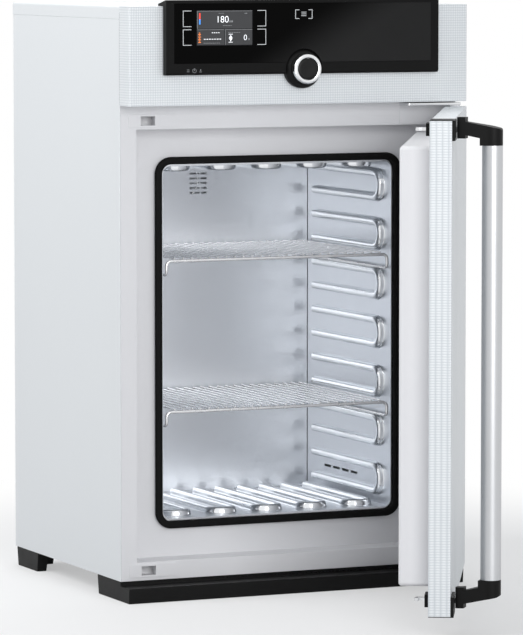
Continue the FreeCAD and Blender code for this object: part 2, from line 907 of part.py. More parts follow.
def head_shell():
    """Fascia of the control head: front, sides, top and underside, open to the back."""
    outer = plan([(-half_case, head_front, head_corner), (half_case, head_front, head_corner),
                  (half_case, 0, 0), (-half_case, 0, 0)], head_bottom, case_top)
    inner = block(sheet - half_case, half_case - sheet, head_front + sheet, sheet,
                  head_bottom + sheet, case_top - sheet)
    window = block(-head_window_half, head_window_half, head_front - sheet,
                   head_front + 2 * sheet, head_window_bottom, head_window_top)
    reach = encoder_side / 2 + slide_gap
    encoder_hole = block(-reach, reach, head_front - sheet, head_front + 2 * sheet,
                         knob_z - reach, knob_z + reach)
    return outer.cut(inner).cut(window).cut(encoder_hole)


def panel_bezel():
    """Black surround whose top laps back over the head; bevelled all round its front."""
    lap = case_top + slide_gap
    body = side([(head_front, bezel_bottom, 0), (bezel_face + bezel_bevel, bezel_bottom, 0),
                 (bezel_face, bezel_bottom + bezel_bevel, 0), (bezel_face, bezel_top, bezel_round),
                 (head_front + bezel_lap, lap + bezel_lap_rise, 0),
                 (head_front + bezel_lap, lap, 0), (head_front, lap, 0)],
                -bezel_half, bezel_half)
    depth = glass_thick + glass_fit
    pocket = block(-glass_half - glass_fit, glass_half + glass_fit, bezel_face - sheet,
                   bezel_face + depth - glass_fit, glass_bottom - glass_fit,
                   glass_top + glass_fit)
    window = display_block(glass_fit, bezel_face - sheet, head_front + sheet)
    boss_room = rod(boss_radius + slide_gap, (0, bezel_face - sheet, knob_z),
                    (0, head_front + sheet, knob_z))
    return body.cut(pocket).cut(window).cut(boss_room)


def display_block(grow, y0, y1):
    return block(display_left - grow, display_left + display_width + grow, y0, y1,
                 display_bottom - grow, display_bottom + display_height + grow)


def panel_glass():
    """Tinted pane in the bezel, cut out for the display and the knob's boss."""
    pane = block(-glass_half, glass_half, bezel_face - slide_gap, bezel_face + glass_thick,
                 glass_bottom, glass_top)
    window = display_block(glass_fit, bezel_face - sheet, head_front)
    boss_room = rod(boss_radius + slide_gap, (0, bezel_face - sheet, knob_z),
                    (0, head_front, knob_z))
    return pane.cut(window).cut(boss_room)


def display_module():
    return display_block(0, bezel_face - slide_gap, head_front + sheet)


def control_board():
    """Circuit board behind the head's front, under the display."""
    return block(-board_half, board_half, head_front + sheet, board_back, board_bottom,
                 board_top)


def knob_boss():
    """Dished black boss under the knob, hollow for the encoder."""
    profile = [(0, head_front), (boss_radius, head_front),
               (boss_radius, head_front - boss_straight), (boss_front_radius, boss_face_y),
               (0, boss_face_y)]
    half = encoder_side / 2 + slide_gap
    well = block(-half, half, boss_face_y + boss_face, 0, knob_z - half, knob_z + half)
    bore = rod(bush_radius + slide_gap, (0, boss_face_y - sheet, knob_z), (0, 0, knob_z))
    return turned(profile, 0, knob_z).cut(well).cut(bore)


def encoder():
    """Rotary encoder on the board, with the bush that carries the ring and guides the cap."""
    half = encoder_side / 2
    front_y = head_front + sheet - encoder_length
    body = block(-half, half, front_y, head_front + sheet, knob_z - half, knob_z + half)
    bush = [(stem_radius + running_gap, front_y), (bush_radius, front_y),
            (bush_radius, web_front - slide_gap / 2),
            (stem_radius + running_gap, web_front - slide_gap / 2)]
    return fused([body, turned(bush, 0, knob_z)])


def turn_ring():
    """Bright ring with a bevelled rim and a web that turns on the encoder's bush."""
    profile = [(bush_radius + running_gap, ring_back), (ring_radius, ring_back),
               (ring_radius, ring_front + ring_bevel), (ring_radius - ring_bevel, ring_front),
               (ring_inner, ring_front), (ring_inner, web_front),
               (bush_radius + running_gap, web_front)]
    return turned(profile, 0, knob_z)


def confirm_cap():
    """Centre button with its stem in the encoder's bush."""
    back = web_front - slide_gap - cap_travel
    face = back - cap_thick
    radius = ring_inner - cap_gap
    stem_end = head_front + sheet - encoder_length - cap_travel - slide_gap
    profile = [(0, stem_end), (stem_radius, stem_end), (stem_radius, back), (radius, back),
               (radius, face), (0, face)]
    return turned(profile, 0, knob_z)


def door_outline(inset):
    """The door skin's outline in plan, drawn in by one sheet for its inside."""
    return [(-half_case + inset, -door_front + inset, max(door_edge_round - inset, 0)),
            (half_case - inset, -door_front + inset, door_hinge_round - inset),
            (half_case - inset, door_back, 0), (-half_case + inset, door_back, 0)]


def bush_block(grow, z0, z1):
    """Room of a hinge block in the door's corner."""
    reach = bush_half + grow
    return block(hinge_x - reach, hinge_x + reach, -hinge_forward - reach,
                 -hinge_forward + reach, z0, z1)


def bush_holes():
    """Room for the hinge blocks in both ends of the door."""
    grow = slide_gap / 2
    return [bush_block(grow, door_bottom - sheet, door_bottom + bush_length),
            bush_block(grow, door_top - bush_length, door_top + sheet)]


def lever_slot(y0, y1, grow=lever_gap):
    """Slot that the latch lever swings in, as wide as its swing between y0 and y1."""
    swing = max(abs(y0 - pivot_y), abs(y1 - pivot_y)) * math.sin(math.radians(latch_angle))
    width = max(neck_width, hook_width) / 2 + grow
    if y0 < pivot_y:
        x0, x1 = pivot_x - width - swing, pivot_x + width
    else:
        x0, x1 = pivot_x - width, pivot_x + width + swing
    high = neck_width / 2 + grow
    return block(x0, x1, y0, y1, hook_z - high, hook_z + high)


def lever_slots(y0, y1, grow=lever_gap):
    slot = lever_slot(y0, y1, grow)
    return [at_end(slot, end, latch_middle) for end in ends]


def door_skin():
    """Outer pan of the door with rounded long edges."""
    pan = plan(door_outline(0), door_bottom, door_top)
    hollow = plan([(x, y if y < door_back else y + sheet, radius)
                   for x, y, radius in door_outline(door_sheet)],
                  door_bottom + door_sheet, door_top - door_sheet)
    slots = lever_slots(-door_front - sheet, -door_front + 2 * sheet)
    return pan.cut(hollow).cut(Part.makeCompound(slots + bush_holes()))


def door_inner_panel():
    """Flange that closes the pan, with the deep plug that fills the recess."""
    half = half_case - door_sheet
    flange = block(-half, half, door_back - door_sheet, door_back, door_bottom + door_sheet,
                   door_top - door_sheet)
    plug = front(box_corners(-half_plug, half_plug, plug_bottom, plug_top, plug_corner),
                 door_back - door_sheet, plug_face)
    rim = [edge for edge in plug.Edges if abs(edge.BoundBox.YMin - plug_face) < 1e-3]
    plug = plug.makeChamfer(plug_edge_round, rim)
    wall = plug_edge_round + door_sheet
    inner = block(wall - half_plug, half_plug - wall, door_back - 2 * door_sheet,
                  plug_face - door_sheet, plug_bottom + wall, plug_top - wall)
    slots = lever_slots(door_back - 2 * sheet, door_back + sheet)
    return fused([flange, plug]).cut(inner).cut(Part.makeCompound(slots))


def door_insulation():
    """Wool in the pan and in the plug, clear of the latch and the hinge bushes."""
    latch_edge = pivot_x + ear_half + guide_half_width
    hinge_edge = hinge_x - bush_half - 2 * wool_gap
    pan = block(latch_edge, hinge_edge, door_sheet + wool_gap - door_front,
                door_back - door_sheet, door_bottom + door_sheet + wool_gap,
                door_top - door_sheet - wool_gap)
    wall = plug_edge_round + door_sheet + wool_gap
    plug = block(wall - half_plug, half_plug - wall, door_back - door_sheet,
                 plug_face - door_sheet - wool_gap, plug_bottom + wall, plug_top - wall)
    return fused([pan, plug])


def corner_cap(end):
    """Black cap over one free corner of the door: front plate and lap over the edge."""
    left = -half_case
    plate = block(left, left + cap_width, -door_front - cap_proud, -door_front,
                  door_top + cap_top - cap_height, door_top + cap_top)
    lap = block(left, left + cap_width, -door_front, door_back, door_top, door_top + cap_top)
    slots = lever_slots(-door_front - 2 * cap_proud, -door_front + sheet)
    return at_end(fused([plate, lap]), end, door_middle).cut(Part.makeCompound(slots))


def latch_guide():
    """Block on the door's flange with the slot that the hook works in."""
    body = block(pivot_x - guide_half_width, pivot_x + guide_half_width, door_back,
                 door_back + guide_thick, hook_z - guide_half_height, hook_z + guide_half_height)
    return body.cut(lever_slot(door_back - sheet, door_back + 2 * guide_thick, guide_gap))


def latch_bracket():
    """Two ears and a web inside the door, with the pin that the lever turns on."""
    y0 = door_sheet - door_front
    y1 = door_back - door_sheet
    x0, x1 = pivot_x - ear_half, pivot_x + ear_half
    reach = neck_width / 2 + ear_gap
    ears = [block(x0, x1, y0, y1, z, z + ear_thick)
            for z in (hook_z - reach - ear_thick, hook_z + reach)]
    web = block(x1 - ear_thick, x1, y0, y1, hook_z - reach, hook_z + reach)
    pin = rod(pivot_radius, (pivot_x, pivot_y, hook_z - reach),
              (pivot_x, pivot_y, hook_z + reach))
    return fused(ears + [web, pin])


def hinge_block(proud):
    """Upper bearing block of the door; its top stands out of the door towards the leaf."""
    bearing = bush_block(0, door_top - bush_length, door_top + proud)
    return bearing.cut(rod(hinge_pin_radius + running_gap, (hinge_x, -hinge_forward, door_middle),
                           (hinge_x, -hinge_forward, case_top)))


def hinge_blocks():
    lower = at_end(hinge_block(lower_leaf_door_gap - slide_gap), "lower", door_middle)
    return Part.makeCompound([hinge_block(leaf_door_gap - slide_gap), lower])


def leaf_outline(back):
    nose = -hinge_forward - leaf_nose_round
    right = hinge_x + leaf_nose_round
    return [(leaf_left, back, 0), (leaf_left, nose, leaf_corner), (right, nose, leaf_nose_eased),
            (right, back, 0)]


def hinge_leaf_upper():
    """Polished leaf under the head with the pin that reaches down into the door."""
    low = door_top + leaf_door_gap
    pin = rod(hinge_pin_radius, (hinge_x, -hinge_forward, door_top - hinge_pin_reach),
              (hinge_x, -hinge_forward, low))
    return fused([plan(leaf_outline(0), low, low + leaf_thick), pin])


def hinge_leaf_lower():
    """Leaf under the door with its pin, carried back beneath the case's bottom."""
    low, high = leaf_low, leaf_low + lower_leaf_thick
    leaf = plan(leaf_outline(0), low, high)
    tail_right = half_case - foot_leg_width - leaf_side_gap
    neck = block(leaf_left, tail_right, 0, bar_back + slide_gap, low, high)
    tail = block(leaf_left, tail_right, bar_back + slide_gap, lower_leaf_reach, low, case_bottom)
    pin = rod(hinge_pin_radius, (hinge_x, -hinge_forward, high),
              (hinge_x, -hinge_forward, door_bottom + hinge_pin_reach))
    return fused([leaf, neck, tail, pin])


def hinge_cover():
    """Painted plate on the frame under the upper leaf."""
    return block(leaf_left, half_case, -cover_plate_thick, 0,
                 recess_top + cover_plate_bottom_gap, door_top + leaf_door_gap)


def latch_hook():
    """Lever of bright steel: neck into the arm, eye on the pin, bar and hooked head."""
    half = neck_width / 2
    turns = [math.pi / 4 * (i + 1 / 2) for i in range(8)]
    eye = plan([(pivot_x + hub_radius * math.cos(turn), pivot_y + hub_radius * math.sin(turn), 0)
                for turn in turns], hook_z - half, hook_z + half)
    neck = block(pivot_x - half, pivot_x + half, -door_front - neck_reach, pivot_y,
                 hook_z - half, hook_z + half)
    low, high = hook_z - hook_height / 2, hook_z + hook_height / 2
    left, right = pivot_x - hook_width / 2, pivot_x + hook_width / 2
    end = hook_reach - door_front
    bar = plan([(left, pivot_y, 0), (left, end - hook_head_length, 0),
                (left - hook_head, end - hook_head_length, 0),
                (left - hook_head, end - hook_nose, 0), (left - hook_head + hook_nose, end, 0),
                (right, end, 0),
                (right, pivot_y, 0)], low, high)
    bore = rod(pivot_radius + running_gap, (pivot_x, pivot_y, 0), (pivot_x, pivot_y, case_top))
    return fused([eye, neck, bar]).cut(bore)


def arm_plan():
    """Plan of the handle's arm: a root on the lever, widening to the tube's socket."""
    root = pivot_x
    tip = pivot_x + tube_side
    back = -door_front - arm_root_back
    out = -door_front - tube_out
    return [(root - arm_root_half, back, arm_root_round),
            (root - arm_root_half, back - arm_nose, 0),
            (tip - tube_radius, out + tube_radius / 3, 0),
            (tip - tube_radius, out - tube_radius, tube_radius - arm_round_gap),
            (tip + tube_radius, out - tube_radius, tube_radius - arm_round_gap),
            (tip + tube_radius, out + tube_radius / 3, tube_radius / 2),
            (root + arm_root_half, back - arm_nose, 0),
            (root + arm_root_half, back, arm_root_round)]


def arm_side():
    """Side of the arm: a tall root, a sloping arm and a socket down to the tube."""
    back = -door_front - arm_root_back
    step = -door_front - arm_root_front
    inner = -door_front - tube_out + tube_radius
    outer = -door_front - tube_out - tube_radius
    low, high = hook_z - arm_root_below, hook_z + arm_root_above
    return [(back, low, 0), (back, high, 0), (step, high, 0),
            (step, hook_z + arm_crown_in, 0), (outer, hook_z + arm_crown_out, arm_nose),
            (outer, tube_top, 0), (inner, tube_top, 0), (inner, hook_z - arm_under_out, 0),
            (step, hook_z - arm_under_in, 0), (step, low, 0)]


def handle_arm(end):
    """Moulded arm, cut from its two silhouettes, with a tenon into the tube."""
    reach = 4 * tube_radius
    body = side(arm_side(), pivot_x - reach, pivot_x + reach)
    body = body.common(plan(arm_plan(), tube_top, hook_z + arm_root_above))
    x, y = pivot_x + tube_side, -door_front - tube_out
    tenon = block(x - tenon_half, x + tenon_half, y - tenon_half, y + tenon_half,
                  tube_top - tenon_length, tube_top)
    half = neck_width / 2 + socket_gap
    socket = block(pivot_x - half, pivot_x + half, -door_front - neck_reach - socket_gap,
                   -door_front, hook_z - half, hook_z + half)
    arm = at_end(fused([body, tenon]), end, handle_middle)
    return arm.cut(at_end(socket, end, latch_middle))


def handle_tube():
    axis = (pivot_x + tube_side, -door_front - tube_out)
    tube = rod(tube_radius, (*axis, tube_bottom), (*axis, tube_top))
    return tube.cut(rod(tube_radius - tube_wall, (*axis, 0), (*axis, case_top)))


def bent_path(points):
    """Points of a wire's middle line, with each corner eased by steps along its bend."""
    path = [points[0]]
    for i in range(1, len(points) - 1):
        into = (points[i] - points[i - 1]).normalize()
        out = (points[i + 1] - points[i]).normalize()
        middle = points[i] + (out - into) * shelf_bend
        for step in range(shelf_bend_steps + 1):
            turn = math.pi / 2 * step / shelf_bend_steps
            path.append(middle - out * shelf_bend * math.cos(turn)
                        + into * shelf_bend * math.sin(turn))
    return path + [points[-1]]


def wire_along(path, radius, sides):
    """Wire of many-sided section along a path, mitred at each point."""
    ahead = (path[1] - path[0]).normalize()
    across = Vector(0, 0, 1) if abs(ahead.z) < abs(ahead.x) + abs(ahead.y) else Vector(1, 0, 0)
    other = ahead.cross(across)
    sections = []
    for i, point in enumerate(path):
        following = (path[i + 1] - point).normalize() if i + 1 < len(path) else ahead
        mitre = (ahead + following).normalize()
        ring = []
        for side_index in range(sides):
            turn = 2 * math.pi * (side_index + 0.5) / sides
            arm = across * (radius * math.cos(turn)) + other * (radius * math.sin(turn))
            ring.append(point + arm - ahead * (arm.dot(mitre) / ahead.dot(mitre)))
        sections.append(ring)
        turning = Rotation(ahead, following)
        across, other = turning.multVec(across), turning.multVec(other)
        ahead = following
    return skinned(sections)


def shelf(hairpin_index):
    """Wire shelf: two bent end wires that rest on a pair of rails, and bars welded on them."""
    rail = chamber_centre + hairpin_centres(side_hairpins)[hairpin_index] + rib_bend_radius
    slope = (rib_foot_half - rib_crest_half) / rib_height
    seat = rib_foot_half - slope * (half_chamber - shelf_half)
    runner = rail + seat + (shelf_rod_radius + slide_gap) * math.hypot(1, slope)
    top = runner + shelf_rise
    x, middle = shelf_half, (shelf_front + shelf_back) / 2
    wires = []
    for y in (shelf_front, shelf_back):
        path = bent_path([Vector(-x, middle, runner), Vector(-x, y, runner), Vector(-x, y, top),
                          Vector(x, y, top), Vector(x, y, runner), Vector(x, middle, runner)])
        wires.append(wire_along(path, shelf_rod_radius, shelf_rod_sides))
    bar_z = top + shelf_rod_radius + shelf_bar_radius
    for i in range(shelf_bars):
        bar_x = (i - (shelf_bars - 1) / 2) * shelf_bar_pitch
        ends = [Vector(bar_x, shelf_front - shelf_rod_radius, bar_z),
                Vector(bar_x, shelf_back + shelf_rod_radius, bar_z)]
        wires.append(wire_along(ends, shelf_bar_radius, shelf_bar_sides))
    return Part.makeCompound(wires)


def build():
    os.makedirs("parts", exist_ok=True)
    across = Vector(1, 0, 0)
    centre = Vector(0, 0, 0)
    save("side_panel_left", side_panel())
    save("side_panel_right", side_panel().mirror(centre, across))
    save("top_cover", top_cover())
    save("back_panel", back_panel())
    save("bottom_plate", bottom_plate())
    save("front_frame", front_frame())
    for end in ends:
        save("catch_" + end, at_end(catch(), end, door_middle))
    save("chamber_rim", chamber_rim())
    save("door_gasket", door_gasket())

    side_wall = ribbed_wall(chamber_height / 2 + liner_sheet, side_hairpins)
    floor_wall = ribbed_wall(half_chamber, floor_hairpins)
    save("liner_left", on_left(side_wall))
    save("liner_right", on_right(side_wall.cut(inlet_slot_tools())))
    save("liner_floor", on_floor(floor_wall))
    save("liner_ceiling", on_ceiling(floor_wall))
    save("liner_back", liner_back())
    save("heating_left", on_left(heating_tape(side_hairpins)))
    save("heating_right", on_right(heating_tape(side_hairpins)))
    save("heating_floor", on_floor(heating_tape(floor_hairpins)))
    save("heating_ceiling", on_ceiling(heating_tape(floor_hairpins)))
    save("fresh_air_box", on_right(fresh_air_box()))
    save("exhaust_duct", exhaust_duct().cut(probe_notch()))
    save("exhaust_flap", exhaust_flap())
    save("flap_motor", flap_motor())
    save("temperature_probe", temperature_probe())
    save("insulation", insulation())
    save("partition", partition())
    save("power_unit", power_unit())
    save("cable_gland", cable_gland())

    save("front_foot", front_foot())
    save("rear_foot_right", rear_foot())
    save("rear_foot_left", rear_foot().mirror(centre, across))

    save("head_shell", head_shell())
    save("panel_bezel", panel_bezel())
    save("panel_glass", panel_glass())
    save("display_module", display_module())
    save("control_board", control_board())
    save("knob_boss", knob_boss())
    save("encoder", encoder())
    save("turn_ring", turn_ring())
    save("confirm_cap", confirm_cap())

    save("hinge_leaf_upper", hinge_leaf_upper())
    save("hinge_leaf_lower", hinge_leaf_lower())
    save("hinge_cover", hinge_cover())

    save("door_skin", opened(door_skin()))
    save("door_inner_panel", opened(door_inner_panel()))
    save("door_insulation", opened(door_insulation()))
    save("hinge_blocks", opened(hinge_blocks()))
    for end in ends:
        save("corner_cap_" + end, opened(corner_cap(end)))
        save("latch_guide_" + end, opened(at_end(latch_guide(), end, latch_middle)))
        save("latch_bracket_" + end, opened(at_end(latch_bracket(), end, latch_middle)))
        save("latch_hook_" + end, released(at_end(latch_hook(), end, latch_middle)))
        save("handle_arm_" + end, released(handle_arm(end)))
    save("handle_tube", released(handle_tube()))

    save("shelf_upper", shelf(upper_shelf_rib_count))
    save("shelf_lower", shelf(lower_shelf_rib_count))


build()
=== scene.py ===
import json
import logging
import math
from dataclasses import dataclass
from enum import Enum
from typing import Any, Callable, Iterable, Sequence

import bmesh
import bpy
from mathutils import Matrix, Vector

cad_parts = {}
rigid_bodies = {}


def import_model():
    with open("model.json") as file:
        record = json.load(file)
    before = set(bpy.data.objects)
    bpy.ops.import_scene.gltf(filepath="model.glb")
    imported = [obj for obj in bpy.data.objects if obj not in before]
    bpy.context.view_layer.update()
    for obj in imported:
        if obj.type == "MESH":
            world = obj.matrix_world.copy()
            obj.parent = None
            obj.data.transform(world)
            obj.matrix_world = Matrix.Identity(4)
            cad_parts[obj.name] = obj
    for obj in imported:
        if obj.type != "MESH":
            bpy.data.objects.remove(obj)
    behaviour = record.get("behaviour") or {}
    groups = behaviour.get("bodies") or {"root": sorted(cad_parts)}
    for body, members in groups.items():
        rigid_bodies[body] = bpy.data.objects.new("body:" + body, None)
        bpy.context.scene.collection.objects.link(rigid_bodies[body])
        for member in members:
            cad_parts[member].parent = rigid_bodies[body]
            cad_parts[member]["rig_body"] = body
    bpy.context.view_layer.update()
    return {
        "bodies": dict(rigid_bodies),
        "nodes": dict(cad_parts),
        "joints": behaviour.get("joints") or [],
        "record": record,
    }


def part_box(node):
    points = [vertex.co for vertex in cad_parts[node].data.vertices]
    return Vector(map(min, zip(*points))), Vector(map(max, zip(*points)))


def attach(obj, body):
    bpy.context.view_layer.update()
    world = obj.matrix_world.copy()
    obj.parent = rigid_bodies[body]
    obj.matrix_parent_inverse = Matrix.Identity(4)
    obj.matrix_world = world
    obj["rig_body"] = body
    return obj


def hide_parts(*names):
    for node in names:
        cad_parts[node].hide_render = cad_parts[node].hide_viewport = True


# Looks of a bench drying oven: metres, X to the right, Y to the back, Z up, door open at rest.

log = logging.getLogger("oven")
Colour = tuple[float, float, float]
Point = tuple[float, float, float]


class Field:
    """A shader socket that takes part in Python expressions."""

    def __init__(self, graph: "Graph", socket: Any) -> None:
        """Keeps the graph that the socket belongs to, and the socket."""
        self.graph = graph
        self.socket = socket

    def _math(self, operation: str, first: Any, second: Any) -> "Field":
        """One Math node on two values."""
        return self.graph.node("ShaderNodeMath", {"operation": operation}, {0: first, 1: second})

    def __add__(self, other: Any) -> "Field":
        """Sum."""
        return self._math("ADD", self, other)

    def __radd__(self, other: Any) -> "Field":
        """Sum, reflected."""
        return self._math("ADD", other, self)

    def __sub__(self, other: Any) -> "Field":
        """Difference."""
        return self._math("SUBTRACT", self, other)

    def __rsub__(self, other: Any) -> "Field":
        """Difference, reflected."""
        return self._math("SUBTRACT", other, self)

    def __mul__(self, other: Any) -> "Field":
        """Product."""
        return self._math("MULTIPLY", self, other)

    def __rmul__(self, other: Any) -> "Field":
        """Product, reflected."""
        return self._math("MULTIPLY", other, self)

    def __pow__(self, other: Any) -> "Field":
        """Power."""
        return self._math("POWER", self, other)

    def clamped(self) -> "Field":
        """The value, or one where it is over one."""
        return self._math("MINIMUM", self, 1.0)

    def sine(self) -> "Field":
        """Sine of the value."""
        return self.graph.node("ShaderNodeMath", {"operation": "SINE"}, {0: self})

    def size(self) -> "Field":
        """The value without its sign."""
        return self.graph.node("ShaderNodeMath", {"operation": "ABSOLUTE"}, {0: self})


class Graph:
    """The node tree of one material or of the world."""

    def __init__(self, name: str, kind: str = "materials") -> None:
        """Makes an empty material, or a world, of that name."""
        self.material = getattr(bpy.data, kind).new(name)
        self.material.use_nodes = True
        self.tree = self.material.node_tree
        self.tree.nodes.clear()

    def node(self, kind: str, settings: dict[str, Any], inputs: dict[Any, Any],
             output: Any = 0) -> Field:
        """Adds a node.

        Args:
            kind: The node's type.
            settings: Properties that are set before its sockets.
            inputs: Values or Fields by socket name or number.
            output: The output that the Field holds.

        Returns:
            The chosen output as a Field.
        """
        made = self.tree.nodes.new(kind)
        for key, value in settings.items():
            setattr(made, key, value)
        for key, value in inputs.items():
            if isinstance(value, Field):
                self.tree.links.new(value.socket, made.inputs[key])
            else:
                made.inputs[key].default_value = value
        return Field(self, made.outputs[output] if len(made.outputs) else None)

    def place(self) -> Field:
        """The point in the piece's own metres."""
        return self.node("ShaderNodeTexCoord", {}, {}, "Object")

    def axes(self) -> tuple[Field, Field, Field]:
        """X, Y and Z of the point."""
        split = self.node("ShaderNodeSeparateXYZ", {}, {0: self.place()})
        outputs = split.socket.node.outputs
        return Field(self, outputs[0]), Field(self, outputs[1]), Field(self, outputs[2])

    def noise(self, size: float, detail: float = 2.0, stretch: Point = (1.0, 1.0, 1.0)) -> Field:
        """Cloudy value about 0.5.

        Args:
            size: Size of a cloud in metres.
            detail: Octaves.
            stretch: How much longer a cloud is along each axis.

        Returns:
            The noise value.
        """
        scale = tuple(1.0 / (size * part) for part in stretch)
        point = self.node("ShaderNodeVectorMath", {"operation": "MULTIPLY"},
                          {0: self.place(), 1: scale})
        return self.node("ShaderNodeTexNoise", {}, {"Vector": point, "Scale": 1.0,
                                                    "Detail": detail})

    def blend(self, share: Any, first: Any, second: Any) -> Field:
        """Mixes two colours by a share."""
        ends = [end if isinstance(end, Field) else (*end, 1.0) for end in (first, second)]
        return self.node("ShaderNodeMix", {"data_type": "RGBA"},
                         {0: share, 6: ends[0], 7: ends[1]}, 2)

    def seen_rays(self) -> Field:
        """One for rays from the camera, off gloss or through glass, which see the backdrop."""
        path = self.node("ShaderNodeLightPath", {}, {}, "Is Camera Ray")
        outputs = path.socket.node.outputs
        return (path + Field(self, outputs["Is Glossy Ray"])
                + Field(self, outputs["Is Transmission Ray"])).clamped()

    def ramp(self, value: Any, start: float, end: float, low: float = 0.0,
             high: float = 1.0) -> Field:
        """Smooth step of a value, from low at the start to high at the end."""
        return self.node("ShaderNodeMapRange", {"interpolation_type": "SMOOTHSTEP"},
                         {"Value": value, "From Min": start, "From Max": end, "To Min": low,
                          "To Max": high})

    def relief(self, height: Field, depth: float) -> Field:
        """Normal from a height of nought to one, that deep in metres."""
        return self.node("ShaderNodeBump", {}, {"Strength": 1.0, "Distance": depth,
                                                "Height": height}, "Normal")

    def finish(self, inputs: dict[str, Any]) -> bpy.types.Material:
        """Adds the surface shader with these sockets and gives the material."""
        shader = self.node("ShaderNodeBsdfPrincipled", {}, inputs)
        self.node("ShaderNodeOutputMaterial", {}, {"Surface": shader})
        return self.material


class Texture(Enum):
    """Relief that a finish carries."""

    ORANGE_PEEL = "orange peel"
    LINEN = "linen"
    ROLLED = "rolled"
    BRUSHED = "brushed"
    MOULDED = "moulded"
    WOOL = "wool"
    # Smooth, with a painted reflection: the colour lightens across part of the face.
    PAINTED_REFLECTION = "smooth, fading across"
    SMOOTH = "smooth"


class Coating:
    """A finish that is made once and then shared."""

    name: str

    def make(self, graph: Graph) -> bpy.types.Material:
        """Fills the material's graph."""
        raise NotImplementedError

    def build(self) -> bpy.types.Material:
        """Makes the material, or gives the one that was made before."""
        title = "finish_" + self.name
        known = bpy.data.materials.get(title)
        return known if known is not None else self.make(Graph(title))


@dataclass(frozen=True)
class Finish(Coating):
    """One surface finish: colour with slight clouds, gloss with slight smudges, and a relief."""

    name: str
    colour: Colour
    shade: Colour
    metallic: float = 0.0
    roughness: float = 0.5
    smudge: float = 0.06
    cloud: float = 0.12
    texture: Texture = Texture.SMOOTH
    depth: float = 0.00002
    grain: float = 0.001
    coat: float = 0.0
    specular: float = 0.5

    def height(self, graph: Graph) -> Field:
        """Height of the relief from nought to one."""
        if self.texture is Texture.LINEN:
            return self.linen(graph)
        if self.texture is Texture.BRUSHED:
            return graph.noise(self.grain, 3.0, (1.0, 1.0, 60.0))
        if self.texture is Texture.ROLLED:
            return graph.noise(self.grain, 3.0, (1.0, 30.0, 1.0))
        if self.texture is Texture.WOOL:
            return graph.noise(self.grain, 6.0, (4.0, 1.0, 1.0))
        return graph.noise(self.grain, 2.0)

    def linen(self, graph: Graph) -> Field:
        """Embossed squares in rows, as rolled into textured sheet."""
        turn = math.pi / self.grain
        x, y, z = graph.axes()
        rows = (z * turn).sine().size()
        columns = ((x + y * 0.9) * turn).sine().size()
        return (rows * columns) ** 0.6

    def tone(self, graph: Graph) -> Field:
        """Colour, from the main tone to the shade in soft clouds, with painted shade in the hollows
        of linen and a painted reflection across the pane.
        """
        clouds = graph.noise(self.cloud, 3.0)
        if self.texture is Texture.LINEN:
            # Painted shade: the hollows of the embossed squares are coloured darker, as shade
            # falling in them would make them look.
            hollow_painted_shade = 1 - self.linen(graph)
            return graph.blend(clouds * 0.25 + hollow_painted_shade * 0.75, self.colour, self.shade)
        if self.texture is Texture.PAINTED_REFLECTION:
            # Painted reflection: the pane turns lighter towards its lower right, past a soft
            # diagonal edge.
            x, _, z = graph.axes()
            share = graph.ramp(x - (z - 0.8706) * 1.62, -0.075, 0.085)
            return graph.blend(share * (clouds * 0.2 + 0.9), self.colour, self.shade)
        fine = graph.noise(self.cloud / 40, 2.0)
        return graph.blend(clouds * 0.7 + fine * 0.3, self.colour, self.shade)

    def gloss(self, graph: Graph) -> Field:
        """Roughness with smudges."""
        return graph.noise(self.cloud / 3, 4.0) * (2 * self.smudge) + (self.roughness - self.smudge)

    def make(self, graph: Graph) -> bpy.types.Material:
        """Joins colour, gloss and relief to the surface shader."""
        return graph.finish({
            "Base Color": self.tone(graph), "Metallic": self.metallic,
            "Roughness": self.gloss(graph), "Coat Weight": self.coat,
            "Specular IOR Level": self.specular,
            "Normal": graph.relief(self.height(graph), self.depth)})


@dataclass(frozen=True)
class Lamp(Coating):
    """A lit mark of the display."""

    name: str
    colour: Colour
    strength: float = 1.0

    def make(self, graph: Graph) -> bpy.types.Material:
        """A glow with fine dots."""
        dots = graph.noise(0.0004, 1.0) * 0.3 + 0.85
        glow = graph.blend(dots, tuple(part * 0.8 for part in self.colour), self.colour)
        return graph.finish({"Base Color": glow, "Roughness": 0.4, "Emission Color": glow,
                             "Emission Strength": self.strength})


